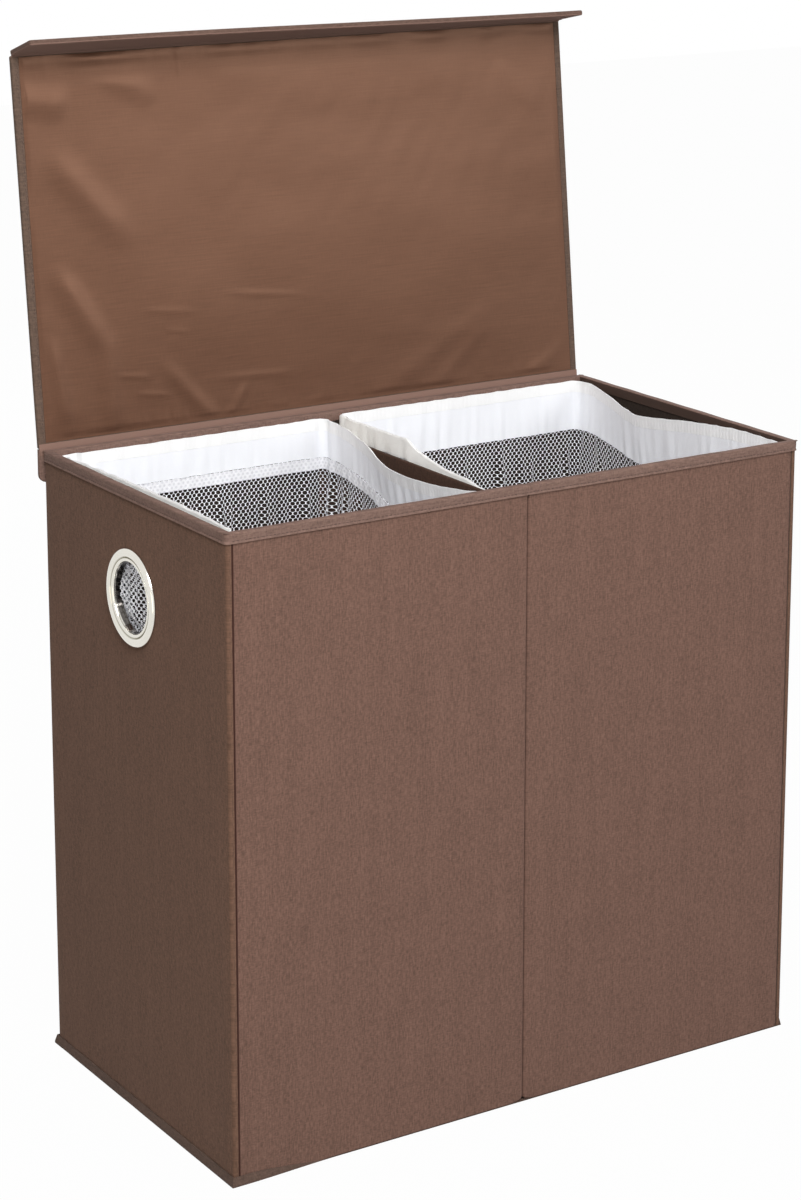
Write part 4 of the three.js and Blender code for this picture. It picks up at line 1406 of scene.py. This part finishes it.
def satin_relief(x, y):
    """How far the satin stands out from the board, in metres."""
    width, height = 2 * satin_half, satin_rear - satin_front
    spot = Vector((x + satin_half, satin_rear - y))
    up = spot.y / height
    total = bulge_height * rise(up, 0, bulge_from_hinge) * rise(up, bulge_end, bulge_from_hinge)
    total *= rise(satin_half - abs(x), 0, 0.12)
    for start, end, fold_width, fold_rise in satin_folds:
        ends = [Vector((u * width, v * height)) for u, v in (start, end)]
        total += fold_rise / 1000 * fold_height(spot, *ends, fold_width / 1000)
    total += wave_height * (noise.noise(Vector((x / 0.09, y / 0.06, 4.2))) + 0.4)
    total += fine_wave_height * noise.noise(Vector((x / 0.02 + y / 0.05, y / 0.03, 1.7)))
    from_hinge, from_lip = satin_rear - y, y - satin_front
    pucker = noise.noise(Vector((x / 0.0065, y / 0.05, 9.4)))
    at_hinge, at_lip = math.exp(-from_hinge / 0.012), math.exp(-from_lip / 0.009)
    total += pucker_height * max(pucker, -0.2) * (at_hinge + 0.6 * at_lip)
    total += stitch_dent * math.sin(2 * math.pi * x / stitch_step) * math.exp(-from_hinge / 0.004)
    under_lip = max(0.6 + noise.noise(Vector((x / 0.035, 0, 6.1))), 0)
    total += under_lip_height * under_lip * hill(from_lip, 0.01, 0.005)
    a, b, c, d = rim_zone
    over_rim = rise(-y, a, b) * (1 - rise(-y, c, d))
    limit = rim_zone_height + free_height * (1 - over_rim)
    inside = min(satin_half - abs(x), from_hinge - flat_at_hinge, from_lip)
    return limit * (1 - math.exp(-max(total, 0) / limit)) * rise(inside, -0.0005, 0.005)


# %% Satin sheet
def closer_lines(point):
    """Draws the lines of an even grid together where the small folds are, at the left and near the hinge."""
    x, y = point.x + 0.5, point.y + 0.5
    x = x * 0.75 if x < 0.6 else 0.45 + (x - 0.6) * 1.375
    up = 1 - y
    up = up * 0.7 if up < 0.5 else 0.35 + (up - 0.5) * 1.3
    return Vector((x - 0.5, 0.5 - up, 0))


clear_selection()
bpy.ops.mesh.primitive_grid_add(x_subdivisions=300, y_subdivisions=164, size=1)
satin_sheet = named("lid_satin")
shape(satin_sheet, closer_lines)
satin_sheet.scale = (2 * satin_half, satin_rear - satin_front, 1)
satin_sheet.location = (0, (satin_rear + satin_front) / 2, satin_recess)
fixed(satin_sheet)
shape(satin_sheet, lambda point: Vector((point.x, point.y, point.z - satin_relief(point.x, point.y))))
pick(satin_sheet, "FACE", lambda middle, out: True)
bpy.ops.mesh.flip_normals()
done()
thicken(satin_sheet, satin_thickness)
smooth(dress(put(satin_sheet, lid_place), satin), 70)
finish_piece(satin_sheet, "lid", ["lid_lining"])

# %% [markdown]
# The lid and the flap are one cloth, and so are the lid and the lip: the cloth runs on over each fold. A
# narrow strip stands for it there.

# %% Cloth over the two folds
strip_thickness = 0.0003
bend_half = 0.0012


def fold_strip(name, flat_place, turn, pivot_y, before, beyond_fold, twist=0.0):
    """A strip across a fold, flat along -Y, whose far part is turned about the fold line.
    The turn may grow towards the right end by a twist."""
    low = (-lid_half + 0.0002, pivot_y - beyond_fold, -strip_thickness)
    strip = box_piece(name, low, (lid_half - 0.0002, pivot_y + before, 0))
    slice_evenly(strip, 1, low[1], pivot_y + before, 0.0006)
    slice_evenly(strip, 0, -lid_half, lid_half, 0.02)

    def bent(point):
        beyond = pivot_y - point.y
        if beyond <= 0:
            return point
        angle = turn + twist * rise(point.x, twist_start, lid_half)
        angle *= rise(beyond, -bend_half, bend_half)
        around = Matrix.Rotation(angle, 4, "X") @ Vector((0, -beyond, point.z))
        return Vector((point.x, pivot_y + around.y, around.z))

    shape(strip, bent)
    smooth(dress(put(strip, flat_place), lip_painted_light_cloth))
    return strip


hinge_turn = math.radians(90) - lid_turn
hinge_strip = fold_strip("hinge_strip", behind_hinge, hinge_turn, 0.0, 0.006, rear_hem)
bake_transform(hinge_strip)

lip_strip = fold_strip("lip_strip", lid_place, lip_turn, -lid_length, front_hem, 0.006, lip_twist)
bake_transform(lip_strip)
print("two strips over the folds")

# %% [markdown]
# ## Rings of the hand holes
#
# A ring is pressed from sheet metal: a round crown, a groove, a raised lip round the hole, and a barrel
# that is turned over behind the wall. Its section is a closed line that is spun about the hole's axis.

# %% Ring section
ring_bore, ring_sheet = 0.0335, 0.0008
ring_foot = 0.0007
ring_back = -0.0072
ring_steps = 96


def arc_points(x, y, radius_x, radius_y, start, end, steps):
    angles = [math.radians(start + (end - start) * i / steps) for i in range(steps + 1)]
    return [Vector((x + radius_x * math.cos(a), y + radius_y * math.sin(a))) for a in angles]


def both_sides(line, thickness):
    """The closed outline of a thin sheet that follows a line."""
    sides = ([], [])
    for i, point in enumerate(line):
        along = (line[min(i + 1, len(line) - 1)] - line[max(i - 1, 0)]).normalized()
        across = Vector((-along.y, along.x)) * thickness / 2
        sides[0].append(point + across)
        sides[1].append(point - across)
    return sides[0] + sides[1][::-1]


middle_line = (
    arc_points(0.042, ring_foot, 0.0041, 0.0033, 0, 156, 14)
    + arc_points(0.0356, ring_foot, 0.0017, 0.0022, 24, 180, 10)
    + arc_points(ring_bore + 0.0026, ring_back + 0.0022, 0.0022, 0.0022, 180, 270, 6)
    + [Vector((ring_bore + 0.0046, ring_back))]
)
section = both_sides(middle_line, ring_sheet)


# %% Two rings
def hand_ring(side, sign):
    clear_selection()
    bpy.ops.mesh.primitive_circle_add(vertices=len(section), radius=0.01, fill_type="NOTHING")
    ring = named(f"ring_{side}")
    for point, spot in zip(ring.data.vertices, section):
        point.co = (sign * (wall_x + spot.y), spot.x, ring_height)
    pick(ring, "VERT", lambda place: True)
    bpy.ops.mesh.spin(steps=ring_steps, angle=2 * math.pi, center=(0, 0, ring_height), axis=(1, 0, 0))
    done()
    weld(ring)
    smooth(dress(ring, nickel), 60)
    return finish_piece(ring, "root", [f"hand_ring_{side}"])


hand_ring("left", -1)
hand_ring("right", 1)

# %% [markdown]
# ## Stitches
#
# One stitch is a small grain of thread, half sunk in the cloth. An Array modifier repeats it along each
# straight row, and the rows that use one thread are joined.

# %% A row of stitches
stitch_half, stitch_pitch, thread_radius = 0.0015, 0.0041, 0.00034


def stitch_row(start, end):
    start, end = Vector(start), Vector(end)
    along = end - start
    count = max(int(along.length / stitch_pitch), 1)
    clear_selection()
    bpy.ops.mesh.primitive_uv_sphere_add(segments=6, ring_count=4, radius=1)
    stitch = named("stitch")
    stitch.scale = (thread_radius, thread_radius, stitch_half)
    stitch.rotation_euler = along.to_track_quat("Z", "Y").to_euler()
    stitch.location = start + along * (0.5 / count)
    fixed(stitch)
    modify(
        stitch,
        "ARRAY",
        count=count,
        use_relative_offset=False,
        use_constant_offset=True,
        constant_offset_displace=along / count,
    )
    return stitch


def joined(name, rows, thread):
    take(rows[0])
    for row in rows:
        row.select_set(True)
    bpy.ops.object.join()
    rows[0].name = rows[0].data.name = name
    return smooth(dress(rows[0], thread), 80)


# %% Stitches of the rim and of the lid's hems
rim_row_z = rim_low.z + rim_stitch_height
row_x, row_y = rim_high.x - 0.0001, rim_high.y - 0.0001
corner_gap = 0.006
end_x, end_y = row_x - corner_gap, row_y - corner_gap
rim_rows = [stitch_row((-end_x, y, rim_row_z), (end_x, y, rim_row_z)) for y in (-row_y, row_y)]
rim_rows += [stitch_row((x, -end_y, rim_row_z), (x, end_y, rim_row_z)) for x in (-row_x, row_x)]
finish_piece(joined("rim_stitches", rim_rows, brown_thread), "root")

hem_x, hem_y, hem_z = window_x + 0.0016, window_rear + 0.0014, 0.00005
hem_front = -lid_length + 0.006
hem_rows = [stitch_row((x, hem_front, hem_z), (x, window_rear, hem_z)) for x in (-hem_x, hem_x)]
hem_rows.append(stitch_row((-window_x, hem_y, hem_z), (window_x, hem_y, hem_z)))
hem_stitches = joined("hem_stitches", hem_rows, brown_thread)
put(hem_stitches, lid_place)
finish_piece(hem_stitches, "lid")

# %% [markdown]
# ## Floor, background and light
#
# The photograph has a plain white ground. The floor and the world are white by their own colour where the
# camera or a reflection sees them, and the floor keeps a soft shadow. The lamps stay at a plain level: one
# large lamp in front, to the right, one high in front, to the left, a weak one low at the left side, which
# falls into half shade, and one behind for the back.

# %% Floor
floor_size = 14
floor_white_share = 0.98
ambient = 0.13


def seen_or_mirrored(finish):
    """1 for what the camera, a mirror or a glass sees, and 0 for light on its way to a surface."""
    outs = ["Is Camera Ray", "Is Glossy Ray", "Is Transmission Ray"]
    seen = [finish.node("ShaderNodeLightPath", out=out) for out in outs]
    return seen[0].most(seen[1]).most(seen[2])


clear_selection()
bpy.ops.mesh.primitive_plane_add(size=floor_size)
floor = named("floor")
ground = Finish("ground")
pale = (0.45, 0.45, 0.45, 1)
lit = ground.node("ShaderNodeBsdfDiffuse", None, {"Color": pale})
glow = ground.node("ShaderNodeEmission", None, {"Color": (1, 1, 1, 1), "Strength": 1.0})
share = seen_or_mirrored(ground) * floor_white_share
ground_shader = ground.node("ShaderNodeMixShader", None, {0: share, 1: lit, 2: glow})
ground.node("ShaderNodeOutputMaterial", None, {"Surface": ground_shader})
dress(floor, ground.material)

# %% World
world = bpy.data.worlds.new("studio")
bpy.context.scene.world = world
sky = Finish("sky", world)
dim = sky.node("ShaderNodeBackground", None, {"Color": (1, 1, 1, 1), "Strength": ambient})
full = sky.node("ShaderNodeBackground", None, {"Color": (1, 1, 1, 1), "Strength": 1.0})
sky_shader = sky.node("ShaderNodeMixShader", None, {0: seen_or_mirrored(sky), 1: dim, 2: full})
sky.node("ShaderNodeOutputWorld", None, {"Surface": sky_shader})
print("floor", floor_size, "m wide, ambient light", ambient)

# %% Lamps
def soft_lamp(name, place, aim, size, watts, colour=(1, 1, 1)):
    lamp_data = bpy.data.lights.new(name, "AREA")
    lamp_data.size = size
    lamp_data.energy = watts
    lamp_data.color = colour
    lamp = bpy.data.objects.new(name, lamp_data)
    lamp.location = place
    lamp.rotation_euler = (Vector(aim) - Vector(place)).to_track_quat("-Z", "Y").to_euler()
    bpy.context.scene.collection.objects.link(lamp)
    return lamp


soft_lamp("front_lamp", (1.95, -3.1, 1.95), (0, 0, 0.5), 1.6, 46)
soft_lamp("high_lamp", (-1.2, -2.0, 2.7), (0, 0, 0.5), 1.6, 100)
soft_lamp("left_lamp", (-1.4, -0.8, 0.4), (-0.3, -0.1, 0.35), 0.8, 1.6, (1, 0.9, 0.7))
soft_lamp("back_lamp", (0.9, 3.0, 1.7), (0, 0, 0.5), 1.6, 40)
print("four lamps")

# %% [markdown]
# ## The end
#

# %% The end
scene = bpy.context.scene
scene.view_settings.view_transform = "Standard"
